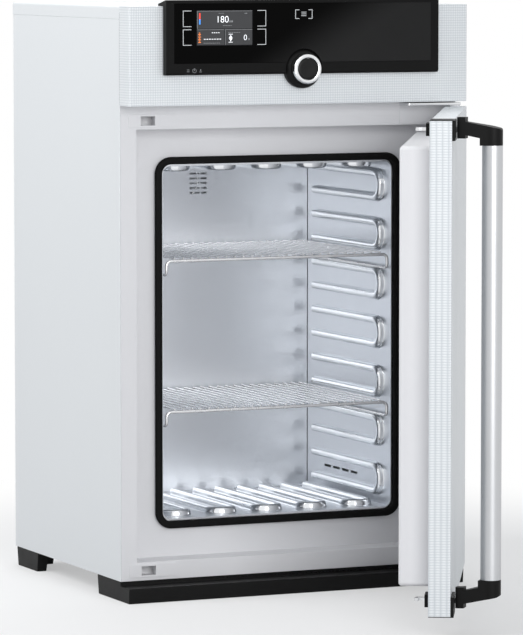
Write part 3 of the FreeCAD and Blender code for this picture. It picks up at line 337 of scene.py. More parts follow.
class Palette:
    """The finishes of the oven."""

    paint = Finish("painted_steel", (0.80, 0.80, 0.815), (0.77, 0.77, 0.785), 0.0, 0.40, 0.04,
                   0.30, Texture.ORANGE_PEEL, 0.000010, 0.0018)
    case = Finish("satin_case", (0.76, 0.785, 0.80), (0.73, 0.755, 0.77), 0.15, 0.42, 0.04,
                  0.35, Texture.ORANGE_PEEL, 0.000008, 0.0016)
    # The linen's second colour is painted shade for the hollows of its embossed squares.
    linen = Finish("linen_steel", (0.86, 0.885, 0.90), (0.55, 0.59, 0.62), 0.20, 0.38, 0.04,
                   0.10, Texture.LINEN, 0.00022, 0.0040)
    chamber = Finish("bright_chamber", (0.87, 0.90, 0.945), (0.83, 0.86, 0.905), 0.82, 0.33, 0.02,
                     0.16, Texture.SMOOTH, 0.000001, 0.004)
    pressed = Finish("pressed_ribs", (0.86, 0.88, 0.90), (0.80, 0.82, 0.85), 1.0, 0.17, 0.02,
                     0.08, Texture.SMOOTH, 0.000001, 0.003)
    wire = Finish("polished_wire", (0.92, 0.92, 0.925), (0.84, 0.84, 0.85), 0.70, 0.26, 0.04,
                  0.03, Texture.MOULDED, 0.000004, 0.0006)
    polished = Finish("polished_steel", (0.80, 0.81, 0.82), (0.70, 0.71, 0.73), 1.0, 0.20, 0.04,
                      0.03, Texture.ROLLED, 0.000003, 0.0004)
    tube = Finish("brushed_tube", (0.60, 0.61, 0.625), (0.52, 0.53, 0.545), 0.75, 0.36, 0.04,
                  0.08, Texture.BRUSHED, 0.000010, 0.0004)
    rubber = Finish("gasket_rubber", (0.006, 0.006, 0.006), (0.010, 0.010, 0.010), 0.0, 0.60,
                    0.08, 0.05, Texture.MOULDED, 0.00002, 0.0008, 0.0, 0.06)
    black = Finish("black_moulding", (0.006, 0.006, 0.006), (0.010, 0.010, 0.010), 0.0, 0.45,
                   0.06, 0.06, Texture.MOULDED, 0.00002, 0.0007, 0.0, 0.10)
    bezel = Finish("bezel_black", (0.008, 0.008, 0.008), (0.011, 0.011, 0.011), 0.0, 0.38, 0.05,
                   0.08, Texture.MOULDED, 0.00001, 0.0006, 0.0, 0.06)
    # The pane's second colour is a painted reflection, laid across its lower right part.
    pane = Finish("dark_pane", (0.0012, 0.0012, 0.0012), (0.024, 0.024, 0.024), 0.0, 0.10, 0.01,
                  0.10, Texture.PAINTED_REFLECTION, 0.0000005, 0.02, 0.0, 0.04)
    screen = Finish("screen_ground", (0.004, 0.004, 0.005), (0.005, 0.005, 0.006), 0.0, 0.20,
                    0.02, 0.02, Texture.SMOOTH, 0.0000005, 0.004, 0.0, 0.10)
    tile = Finish("screen_tile", (0.070, 0.071, 0.074), (0.078, 0.079, 0.082), 0.0, 0.30, 0.02,
                  0.02, Texture.SMOOTH, 0.0000005, 0.004, 0.0, 0.12)
    ring = Finish("ring_metal", (0.86, 0.87, 0.88), (0.76, 0.77, 0.78), 1.0, 0.16, 0.04, 0.02,
                  Texture.SMOOTH, 0.000003, 0.0006)
    cap = Finish("cap_black", (0.006, 0.006, 0.006), (0.009, 0.009, 0.009), 0.0, 0.32, 0.04,
                 0.02, Texture.MOULDED, 0.000006, 0.0005, 0.0, 0.20)
    wool = Finish("mineral_wool", (0.46, 0.42, 0.28), (0.34, 0.31, 0.20), 0.0, 0.95, 0.03, 0.03,
                  Texture.WOOL, 0.0012, 0.002)
    heater = Finish("heater_tape", (0.42, 0.30, 0.16), (0.30, 0.21, 0.11), 0.3, 0.6, 0.06, 0.02,
                    Texture.WOOL, 0.0002, 0.0012)
    board = Finish("board_green", (0.02, 0.12, 0.05), (0.015, 0.09, 0.04), 0.0, 0.40, 0.06, 0.02,
                   Texture.MOULDED, 0.00002, 0.001, 0.2)
    motor = Finish("motor_case", (0.30, 0.31, 0.32), (0.24, 0.25, 0.26), 0.6, 0.45, 0.06, 0.03,
                   Texture.MOULDED, 0.00003, 0.0009)
    bearing = Finish("bearing_steel", (0.55, 0.56, 0.58), (0.46, 0.47, 0.49), 0.9, 0.34, 0.06,
                     0.02, Texture.ROLLED, 0.000006, 0.0006)
    zinc = Finish("zinc_sheet", (0.58, 0.60, 0.62), (0.46, 0.48, 0.50), 0.8, 0.42, 0.08, 0.05,
                  Texture.SMOOTH, 0.00001, 0.01)
    mark = Lamp("mark_white", (0.70, 0.72, 0.73), 0.15)
    dim = Lamp("mark_grey", (0.34, 0.35, 0.36), 0.10)
    digits = Lamp("digit_white", (0.90, 0.92, 0.95), 0.9)
    amber = Lamp("mark_amber", (0.85, 0.22, 0.04), 0.8)
    red = Lamp("mark_red", (0.75, 0.05, 0.03), 0.8)
    blue = Lamp("mark_blue", (0.05, 0.25, 0.75), 0.8)

    by_slot = {"case_paint": paint, "case_steel": linen, "chamber_steel": chamber,
               "polished_steel": polished, "gasket_rubber": rubber, "black_moulding": black,
               "bezel_black": bezel, "panel_pane": pane, "display_face": screen, "wool": wool,
               "heater": heater, "board": board, "motor_case": motor, "bearing": bearing,
               "handle_steel": tube, "ring_metal": ring}


class Workshop:
    """Makes pieces and says what each of them rides on, replaces and is finished in."""

    def __init__(self, frame: dict[str, Any]) -> None:
        """Reads which slot and body each node has."""
        self.nodes = frame["nodes"]
        self.slots = {row["node"]: row["material_slot"] for row in frame["record"]["subparts"]}
        self.replaced: set[str] = set()

    def piece(self, name: str, bm: bmesh.types.BMesh, body: str, finish: Any, slot: str,
              replaces: Sequence[str] = (), smooth_angle: float = 35.0) -> bpy.types.Object:
        """Turns built faces into a piece of the part.

        Args:
            name: The piece's name.
            bm: Its faces, in metres at rest.
            body: The body that it moves with.
            finish: Its finish.
            slot: The record's material slot; not used.
            replaces: Nodes that it stands for.
            smooth_angle: Edges sharper than this many degrees stay sharp.

        Returns:
            The new object.
        """
        bmesh.ops.recalc_face_normals(bm, faces=bm.faces)
        for face in bm.faces:
            face.smooth = True
        for edge in bm.edges:
            edge.smooth = (not edge.is_manifold
                           or edge.calc_face_angle(0.0) < math.radians(smooth_angle))
        mesh = bpy.data.meshes.new(name)
        bm.to_mesh(mesh)
        bm.free()
        mesh.materials.append(finish.build())
        obj = bpy.data.objects.new(name, mesh)
        bpy.context.scene.collection.objects.link(obj)
        normals = obj.modifiers.new("weighted", "WEIGHTED_NORMAL")
        normals.keep_sharp = True
        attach(obj, body)
        if replaces:
            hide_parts(*replaces)
            self.replaced.update(replaces)
        log.info("%s: %d faces on %s", name, len(mesh.polygons), body)
        return obj

    @staticmethod
    def round_edges(bm: bmesh.types.BMesh, width: float, sharper_than: float = 30.0) -> None:
        """Joins faces that lie in one plane and rounds the edges between the others.

        Args:
            bm: The mesh.
            width: Width of the rounding in metres.
            sharper_than: Degrees from which an edge is rounded.
        """
        bmesh.ops.dissolve_limit(bm, angle_limit=math.radians(0.4), verts=bm.verts,
                                 edges=bm.edges, use_dissolve_boundaries=False)
        edges = [edge for edge in bm.edges if edge.is_manifold
                 and edge.calc_face_angle(0.0) > math.radians(sharper_than)]
        bmesh.ops.bevel(bm, geom=edges, offset=width, offset_type="OFFSET", segments=2,
                        profile=0.6, affect="EDGES", clamp_overlap=True)

    def soften(self, node: str, width: float, finish: Any = None,
               sharper_than: float = 30.0) -> bpy.types.Object:
        """A copy of a node with its edges rounded, in place of the node.

        Args:
            node: The node.
            width: Width of the rounding in metres.
            finish: The finish, or None for that of the node's slot.
            sharper_than: Degrees from which an edge is rounded.

        Returns:
            The new object.
        """
        source = self.nodes[node]
        bm = bmesh.new()
        bm.from_mesh(source.data)
        bmesh.ops.remove_doubles(bm, verts=bm.verts, dist=2e-6)
        self.round_edges(bm, width, sharper_than)
        slot = self.slots[node]
        chosen = finish or Palette.by_slot[slot]
        return self.piece(node + "_skin", bm, source["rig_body"], chosen, slot, [node])

    def dress_nodes(self) -> None:
        """Gives every node that still shows the finish of its slot."""
        zinc_nodes = ("partition", "power_unit", "fresh_air_box", "bottom_plate")
        for name, obj in self.nodes.items():
            if name in self.replaced:
                continue
            finish = Palette.zinc if name in zinc_nodes else Palette.by_slot[self.slots[name]]
            obj.data.materials.clear()
            obj.data.materials.append(finish.build())
            log.info("%s: %s", name, finish.name)


def skin(bm: bmesh.types.BMesh, rings: Sequence[Sequence[Vector]], closed: bool = False,
         capped: bool = True, open_rings: bool = False) -> None:
    """Faces between rings of matching points.

    Args:
        bm: Where the faces go.
        rings: Rings of as many points each.
        closed: Whether the last ring joins the first.
        capped: Whether the ends get a face.
        open_rings: Whether a ring is an open line.
    """
    rows = [[bm.verts.new(point) for point in ring] for ring in rings]
    count = len(rows[0])
    pairs = list(zip(rows, rows[1:]))
    if closed:
        pairs.append((rows[-1], rows[0]))
    for low, high in pairs:
        for i in range(count - 1 if open_rings else count):
            j = (i + 1) % count
            bm.faces.new((low[i], low[j], high[j], high[i]))
    if capped and not closed:
        bm.faces.new(rows[0])
        bm.faces.new(list(reversed(rows[-1])))


def lathe(bm: bmesh.types.BMesh, profile: Sequence[tuple[float, float]], centre: Point,
          segments: int = 96) -> None:
    """Turns (radius, y) points about a line along Y through a centre.

    Args:
        bm: Where the faces go.
        profile: Closed run of points, from the axis to the axis or round a hollow.
        centre: X and Z of the axis, with the Y that profile counts from.
        segments: Steps round the axis.
    """
    rings = []
    for step in range(segments):
        turn = 2 * math.pi * step / segments
        rings.append([Vector((centre[0] + radius * math.cos(turn), centre[1] + y,
                              centre[2] + radius * math.sin(turn))) for radius, y in profile])
    skin(bm, rings, closed=True, capped=False)
    bmesh.ops.remove_doubles(bm, verts=bm.verts, dist=1e-7)
    flat = [face for face in bm.faces if face.calc_area() < 1e-14]
    bmesh.ops.delete(bm, geom=flat, context="FACES_ONLY")


def rounded(corners: Sequence[tuple[float, float, float]],
            steps: int = 6) -> list[tuple[float, float]]:
    """Closed outline with each (a, b, radius) corner rounded.

    Args:
        corners: Corners in order, with the radius of each.
        steps: Steps round each corner.

    Returns:
        The points of the outline.
    """
    points = []
    count = len(corners)
    for i, (a, b, radius) in enumerate(corners):
        corner = Vector((a, b))
        before = (Vector(corners[i - 1][:2]) - corner).normalized()
        after = (Vector(corners[(i + 1) % count][:2]) - corner).normalized()
        if radius <= 0:
            points.append((a, b))
            continue
        half = before.angle(after) / 2
        start = corner + before * (radius / math.tan(half))
        end = corner + after * (radius / math.tan(half))
        centre = corner + (before + after).normalized() * (radius / math.sin(half))
        for step in range(steps + 1):
            share = step / steps
            arm = (start - centre).lerp(end - centre, share).normalized() * radius
            points.append(tuple(centre + arm))
    return points


def tube_along(bm: bmesh.types.BMesh, path: Sequence[Vector], radius: float, sides: int = 12,
               round_ends: bool = True) -> None:
    """A round wire along a path.

    Args:
        bm: Where the faces go.
        path: Points of its middle line.
        radius: Its radius.
        sides: Sides of its section.
        round_ends: Whether its ends are domed.
    """
    ahead = (path[1] - path[0]).normalized()
    across = ahead.orthogonal().normalized()
    rings = []
    for i, point in enumerate(path):
        following = (path[i + 1] - point).normalized() if i + 1 < len(path) else ahead
        mitre = (ahead + following).normalized()
        other = ahead.cross(across)
        ring = []
        for k in range(sides):
            turn = 2 * math.pi * k / sides
            arm = across * (radius * math.cos(turn)) + other * (radius * math.sin(turn))
            ring.append(point + arm - ahead * (arm.dot(mitre) / ahead.dot(mitre)))
        rings.append(ring)
        across = ahead.rotation_difference(following) @ across
        ahead = following
    if round_ends:
        first, last = rings[0], rings[-1]
        start, end = path[0], path[-1]
        back = (path[0] - path[1]).normalized()
        on = (path[-1] - path[-2]).normalized()
        for share in (0.55, 0.9):
            drawn = math.sqrt(1 - share * share)
            rings.insert(0, [start + (point - start) * drawn + back * radius * share
                             for point in first])
            rings.append([end + (point - end) * drawn + on * radius * share for point in last])
    skin(bm, rings)


def bent(points: Sequence[Vector], radius: float, steps: int = 8) -> list[Vector]:
    """Path through square corners, each rounded by a bend of that radius."""
    path = [points[0]]
    for i in range(1, len(points) - 1):
        into = (points[i] - points[i - 1]).normalized()
        out = (points[i + 1] - points[i]).normalized()
        middle = points[i] + (out - into) * radius
        for step in range(steps + 1):
            turn = math.pi / 2 * step / steps
            path.append(middle - out * radius * math.cos(turn) + into * radius * math.sin(turn))
    return path + [points[-1]]


def in_order(bm: bmesh.types.BMesh) -> None:
    """Rebuilds a mesh in an order that hangs on places alone.

    Blender's extrusion leaves its faces in an order that changes from run to run, and joining and
    rounding them would then change too.
    """
    bm.verts.index_update()
    spots = [tuple(round(part, 7) for part in vert.co) for vert in bm.verts]
    order = sorted(range(len(spots)), key=spots.__getitem__)
    rank = {old: new for new, old in enumerate(order)}
    loops = []
    for face in bm.faces:
        loop = [rank[vert.index] for vert in face.verts]
        start = loop.index(min(loop))
        loops.append(loop[start:] + loop[:start])
    bm.clear()
    verts = [bm.verts.new(spots[old]) for old in order]
    for loop in sorted(loops):
        bm.faces.new([verts[i] for i in loop])
    bm.normal_update()


def slab(bm: bmesh.types.BMesh, low: Sequence[float], high: Sequence[float], edge: float) -> None:
    """A block between two corners with softened edges."""
    made = bmesh.ops.create_cube(bm, size=1.0)
    for vert in made["verts"]:
        vert.co = Vector([(a + b) / 2 + part * (b - a)
                          for a, b, part in zip(low, high, vert.co)])
    edges = list(dict.fromkeys(item for vert in made["verts"] for item in vert.link_edges))
    bmesh.ops.bevel(bm, geom=edges, offset=edge, segments=2, profile=0.6, affect="EDGES",
                    clamp_overlap=True)


@dataclass
class Chamber:
    """Bright chamber: four ribbed walls, the rounded seal and two wire shelves."""

    shop: Workshop
    half: float = 0.200
    low: float = 0.120
    high: float = 0.680
    front: float = 0.047
    back: float = 0.368
    sheet: float = 0.0012
    pitch: float = 0.080
    bend: float = 0.020
    foot: float = 0.0074
    height: float = 0.010
    bend_y: float = 0.0965
    end_y: float = 0.3300
    bend_steps: int = 28
    cap_steps: int = 7
    slot_across: float = -0.240
    slot_size: tuple[float, float] = (0.026, 0.0042)
    slot_start: float = 0.1710
    slot_pitch: float = 0.034
    slot_count: int = 4
    wire: float = 0.0025
    bar: float = 0.0015
    bar_pitch: float = 0.015
    corner_strip: float = 0.00035

    def rib_section(self) -> list[tuple[float, float]]:
        """Half width and height round a rib, from one foot over the crest to the other."""
        half = [(1.0, 0.0), (0.93, 0.05), (0.88, 0.16), (0.85, 0.36), (0.80, 0.56),
                (0.70, 0.75), (0.54, 0.89), (0.30, 0.975)]
        left = [(-a * self.foot, h * self.height) for a, h in half]
        right = [(a * self.foot, h * self.height) for a, h in reversed(half)]
        return left + [(0.0, self.height)] + right

    def rib_path(self, centre: float) -> list[tuple[Vector, Vector, float]]:
        """Middle line of a hairpin.

        Args:
            centre: Place of its middle across the wall.

        Returns:
            Point, direction across the rib, and size, for each section.
        """
        stations = []
        dome = self.foot
        for step in range(self.cap_steps):
            share = 1 - (step / self.cap_steps)
            stations.append((self.end_y + dome * share, math.sqrt(1 - share * share)))
        rails = [(y, size) for y, size in stations] + [
            (self.end_y - (self.end_y - self.bend_y) * k / 6, 1.0) for k in range(6)]
        path = [(Vector((centre - self.bend, y)), Vector((1, 0)), size) for y, size in rails]
        for step in range(self.bend_steps + 1):
            turn = math.pi * step / self.bend_steps
            arm = Vector((-math.cos(turn), -math.sin(turn)))
            path.append((Vector((centre, self.bend_y)) + arm * self.bend, -arm, 1.0))
        path += [(Vector((centre + self.bend, y)), Vector((-1, 0)), size)
                 for y, size in reversed(rails)]
        return path

    def rib(self, bm: bmesh.types.BMesh, centre: float,
            put: Callable[[float, float, float], Vector]) -> None:
        """One pressed hairpin on a wall that put() maps to the oven."""
        rings = []
        for point, across, size in self.rib_path(centre):
            ring = []
            for a, h in self.rib_section():
                spot = point + across * (a * max(size, 0.02))
                ring.append(put(spot.x, spot.y, h * size))
            rings.append(ring)
        skin(bm, rings, capped=False, open_rings=True)

    def sheet_with_slots(self, bm: bmesh.types.BMesh, half: float, slots: Sequence[tuple],
                         put: Callable[[float, float, float], Vector]) -> None:
        """Flat sheet of a wall with slots left open.

        Args:
            bm: Where the faces go.
            half: Half the sheet's width.
            slots: (a0, a1, y0, y1) of each slot.
            put: Maps the wall to the oven.
        """
        across = sorted({-half, half, *(edge for slot in slots for edge in slot[:2])})
        along = sorted({self.front, self.back, *(edge for slot in slots for edge in slot[2:])})
        corners: dict[tuple[float, float], Any] = {}
        faces = []

        def corner(a: float, y: float) -> Any:
            """The vertex at a crossing, made once."""
            if (a, y) not in corners:
                corners[(a, y)] = bm.verts.new(put(a, y, 0.0))
            return corners[(a, y)]

        for a0, a1 in zip(across, across[1:]):
            for y0, y1 in zip(along, along[1:]):
                middle = ((a0 + a1) / 2, (y0 + y1) / 2)
                if any(s[0] < middle[0] < s[1] and s[2] < middle[1] < s[3] for s in slots):
                    continue
                faces.append(bm.faces.new((corner(a0, y0), corner(a1, y0), corner(a1, y1),
                                           corner(a0, y1))))
        inward = put(0, 0, 1) - put(0, 0, 0)
        extruded = bmesh.ops.extrude_face_region(bm, geom=faces)
        for item in extruded["geom"]:
            if isinstance(item, bmesh.types.BMVert):
                item.co -= inward * self.sheet
        in_order(bm)

    def wall(self, name: str, half: float, count: int, slots: Sequence[tuple],
             put: Callable[[float, float, float], Vector]) -> None:
        """Builds and dresses one ribbed wall."""
        bm = bmesh.new()
        self.sheet_with_slots(bm, half, slots, put)
        self.shop.piece(name + "_sheet", bm, "cabinet", Palette.chamber, "chamber_steel", [name])
        ribs = bmesh.new()
        for i in range(count):
            self.rib(ribs, (i - (count - 1) / 2) * self.pitch, put)
        self.shop.piece(name + "_ribs", ribs, "cabinet", Palette.pressed, "chamber_steel",
                        smooth_angle=80.0)

    def walls(self) -> None:
        """All four ribbed walls."""
        middle = (self.low + self.high) / 2
        tall = (self.high - self.low) / 2
        length, width = self.slot_size
        slots = []
        for i in range(self.slot_count):
            y = self.slot_start + i * self.slot_pitch
            slots.append((self.slot_across - width / 2, self.slot_across + width / 2, y,
                          y + length))
        self.wall("liner_left", tall, 7, (), lambda a, y, h: Vector((h - self.half, y, middle + a)))
        self.wall("liner_right", tall, 7, slots,
                  lambda a, y, h: Vector((self.half - h, y, middle + a)))
        self.wall("liner_floor", self.half, 5, (), lambda a, y, h: Vector((a, y, self.low + h)))
        self.wall("liner_ceiling", self.half, 5, (),
                  lambda a, y, h: Vector((a, y, self.high - h)))

    def seal(self) -> None:
        """Rounded rubber seal round the mouth."""
        low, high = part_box("door_gasket")
        thick = 0.0119
        reach = thick / 2
        section = []
        for step in range(16):
            turn = 2 * math.pi * step / 16
            out = math.copysign(abs(math.cos(turn)) ** 0.7, math.cos(turn))
            forward = math.copysign(abs(math.sin(turn)) ** 0.7, math.sin(turn))
            section.append((out, forward))
        corner = 0.0272 - reach
        frame = rounded([(low.x + reach, low.z + reach, corner),
                         (high.x - reach, low.z + reach, corner),
                         (high.x - reach, high.z - reach, corner),
                         (low.x + reach, high.z - reach, corner)], 12)
        middle = (low.y + high.y) / 2
        deep = (high.y - low.y) / 2
        rings = []
        count = len(frame)
        for i, (x, z) in enumerate(frame):
            before, after = Vector(frame[i - 1]), Vector(frame[(i + 1) % count])
            along = (after - before).normalized()
            outward = Vector((along.y, -along.x))
            rings.append([Vector((x + outward.x * out * reach, middle + forward * deep,
                                  z + outward.y * out * reach)) for out, forward in section])
        bm = bmesh.new()
        skin(bm, rings, closed=True)
        self.shop.piece("door_seal", bm, "cabinet", Palette.rubber, "gasket_rubber",
                        ["door_gasket"], 60.0)

    def shelf(self, node: str) -> None:
        """Round wire shelf: two bent end wires and the bars welded on them."""
        low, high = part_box(node)
        side = self.half - 0.0065
        y0, y1 = low.y + self.wire, high.y - self.wire
        runner = low.z + self.wire
        top = high.z - self.wire - 2 * self.bar
        middle = (y0 + y1) / 2
        bm = bmesh.new()
        for y in (y0, y1):
            stops = [Vector((-side, middle, runner)), Vector((-side, y, runner)),
                     Vector((-side, y, top)), Vector((side, y, top)),
                     Vector((side, y, runner)), Vector((side, middle, runner))]
            tube_along(bm, bent(stops, 0.008), self.wire, 14, False)
        count = int(2 * (side - 0.008) // self.bar_pitch) + 1
        for i in range(count):
            x = (i - (count - 1) / 2) * self.bar_pitch
            tube_along(bm, [Vector((x, low.y + self.bar, high.z - self.bar)),
                            Vector((x, high.y - self.bar, high.z - self.bar))], self.bar, 10)
        self.shop.piece(node + "_wires", bm, node, Palette.wire, "chamber_steel", [node], 50.0)

    def corner_shade(self) -> None:
        """Dark strips of painted shade in the upright joints where the back wall meets the side
        walls.
        """
        bm = bmesh.new()
        for x in (-self.half + self.corner_strip, self.half - self.corner_strip):
            tube_along(bm, [Vector((x, self.back - self.corner_strip, self.low + 0.002)),
                            Vector((x, self.back - self.corner_strip, self.high - 0.002))], self.corner_strip, 8)
        self.shop.piece("corner_shade_strips", bm, "cabinet", Palette.rubber, "gasket_rubber")

    def build(self) -> None:
        """Walls, back, rim, seal and shelves."""
        self.walls()
        self.corner_shade()
        self.shop.soften("liner_back", 0.0003)
        self.shop.soften("chamber_rim", 0.0004, Palette.pressed)
        self.seal()
        for node in ("shelf_upper", "shelf_lower"):
            self.shelf(node)


@dataclass
class Cabinet:
    """Case, front frame, catches, hinge leaves, feet and what the back carries."""

    shop: Workshop
    sheet: float = 0.0015
    recess: tuple[float, ...] = (-0.264, 0.264, 0.060, 0.741)
    mouth: tuple[float, ...] = (-0.2016, 0.2016, 0.1186, 0.6814)
    pockets: tuple[tuple[float, ...], ...] = ((-0.2668, -0.2262, 0.7452, 0.7638),
                                              (-0.2668, -0.2262, 0.0371, 0.0557))
    screw_radius: float = 0.0032
    screw_height: float = 0.0016

    def screws(self, name: str, places: Iterable[Point], body: str, finish: Any,
               slot: str) -> None:
        """Domed screw heads with a cross, facing the back."""
        bm = bmesh.new()
        radius, height = self.screw_radius, self.screw_height
        for place in places:
            head = bmesh.new()
            lathe(head, [(0.0, height), (radius * 0.45, height * 0.95),
                         (radius * 0.8, height * 0.6), (radius, 0.0), (0.0, 0.0)], place, 20)
            for width, tall in ((radius * 0.9, radius * 0.16), (radius * 0.16, radius * 0.9)):
                slab(head, (place[0] - width, place[1] + height * 0.9, place[2] - tall),
                     (place[0] + width, place[1] + height * 1.04, place[2] + tall), 0.00005)
            mesh = bpy.data.meshes.new("screw")
            head.to_mesh(mesh)
            head.free()
            bm.from_mesh(mesh)
            bpy.data.meshes.remove(mesh)
        self.shop.piece(name, bm, body, finish, slot)

    def back(self) -> None:
        """Back panel's screws and the flange's screws."""
        low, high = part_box("back_panel")
        edge = 0.009
        places = []
        for i in range(5):
            z = low.z + edge + (high.z - low.z - 2 * edge) * i / 4
            places += [(low.x + edge, high.y, z), (high.x - edge, high.y, z)]
        for i in range(1, 4):
            x = low.x + (high.x - low.x) * i / 4
            places += [(x, high.y, low.z + edge), (x, high.y, high.z - edge)]
        self.screws("back_screws", places, "cabinet", Palette.bearing, "bearing")
        duct_low, duct_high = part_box("exhaust_duct")
        middle = (duct_low.z + duct_high.z) / 2
        reach = (duct_high.x - duct_low.x) / 2 - 0.0045
        corners = [(x, high.y + 0.002, middle + z)
                   for x in (-reach, reach) for z in (-reach, reach)]
        self.screws("flange_screws", corners, "cabinet", Palette.bearing, "bearing")

    def front_frame(self) -> None:
        """Face, recess walls and recess back in one skin, with the mouth and the two pockets."""
        low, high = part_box("front_frame")
        back = high.y - self.sheet
        outer = (low.x, high.x, low.z, high.z)
        holes = [self.recess, *self.pockets]
        across = sorted({x for hole in (outer, self.mouth, *holes) for x in hole[:2]})
        upright = sorted({z for hole in (outer, self.mouth, *holes) for z in hole[2:]})
        bm = bmesh.new()

        def quad(*corners: Point) -> None:
            bm.faces.new([bm.verts.new(corner) for corner in corners])

        def inside(hole: Sequence[float], x: float, z: float) -> bool:
            return hole[0] < x < hole[1] and hole[2] < z < hole[3]

        x0, x1, z0, z1 = self.recess
        for a, b in zip(across, across[1:]):
            for c, d in zip(upright, upright[1:]):
                x, z = (a + b) / 2, (c + d) / 2
                if not any(inside(hole, x, z) for hole in holes):
                    quad((a, low.y, c), (b, low.y, c), (b, low.y, d), (a, low.y, d))
                if inside(self.recess, x, z) and not inside(self.mouth, x, z):
                    quad((a, back, c), (b, back, c), (b, back, d), (a, back, d))
            if x0 <= a and b <= x1:
                quad((a, low.y, z0), (b, low.y, z0), (b, back, z0), (a, back, z0))
                quad((b, low.y, z1), (a, low.y, z1), (a, back, z1), (b, back, z1))
        for c, d in zip(upright, upright[1:]):
            if z0 <= c and d <= z1:
                quad((x0, low.y, d), (x0, low.y, c), (x0, back, c), (x0, back, d))
                quad((x1, low.y, c), (x1, low.y, d), (x1, back, d), (x1, back, c))
        bmesh.ops.remove_doubles(bm, verts=bm.verts, dist=1e-6)
        bmesh.ops.solidify(bm, geom=bm.faces[:], thickness=self.sheet)
        in_order(bm)
        self.shop.round_edges(bm, 0.0011)
        # The rounding takes up the sheet's whole edge, which leaves faces without area.
        bmesh.ops.dissolve_degenerate(bm, dist=1e-6, edges=bm.edges)
        self.shop.piece("front_frame_skin", bm, "cabinet", Palette.paint, "case_paint",
                        ["front_frame"])

    def head_gap_shade(self) -> None:
        """Dark strips of painted shade in the upright gaps between the control head and the sides
        of the case.
        """
        low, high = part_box("head_shell")
        bm = bmesh.new()
        for x in (low.x + 0.0004, high.x - 0.0004):
            tube_along(bm, [Vector((x, high.y, low.z + 0.002)),
                            Vector((x, high.y, high.z - 0.010))], 0.0004, 8)
        self.shop.piece("head_gap_shade", bm, "cabinet", Palette.rubber, "gasket_rubber")

    def build(self) -> None:
        """Rounds the folded sheet's edges and dresses it."""
        for node in ("side_panel_left", "side_panel_right", "top_cover", "back_panel"):
            self.shop.soften(node, 0.0009, Palette.case)
        self.front_frame()
        self.head_gap_shade()
        self.shop.soften("hinge_cover", 0.0004, Palette.paint)
        for node in ("catch_upper", "catch_lower"):
            self.shop.soften(node, 0.0004, Palette.paint)
        for node in ("hinge_leaf_upper", "hinge_leaf_lower"):
            self.shop.soften(node, 0.0005)
        for node in ("front_foot", "rear_foot_left", "rear_foot_right"):
            self.shop.soften(node, 0.0014)
        self.shop.soften("exhaust_duct", 0.0004, Palette.polished)
        self.shop.soften("cable_gland", 0.0006)
        self.back()


@dataclass
class Door:
    """Door: linen steel pan, smooth plug, corner caps, latch and handle."""

    shop: Workshop

    def build(self) -> None:
        """Rounds and dresses the pieces of the door and of the handle."""
        self.shop.soften("door_skin", 0.0006, Palette.linen)
        self.shop.soften("door_inner_panel", 0.0010, Palette.paint)
        for end in ("upper", "lower"):
            self.shop.soften("corner_cap_" + end, 0.0007)
            self.shop.soften("latch_guide_" + end, 0.0006)
            self.shop.soften("latch_hook_" + end, 0.0005)
            self.shop.soften("handle_arm_" + end, 0.0016)
        self.shop.soften("handle_tube", 0.0003)


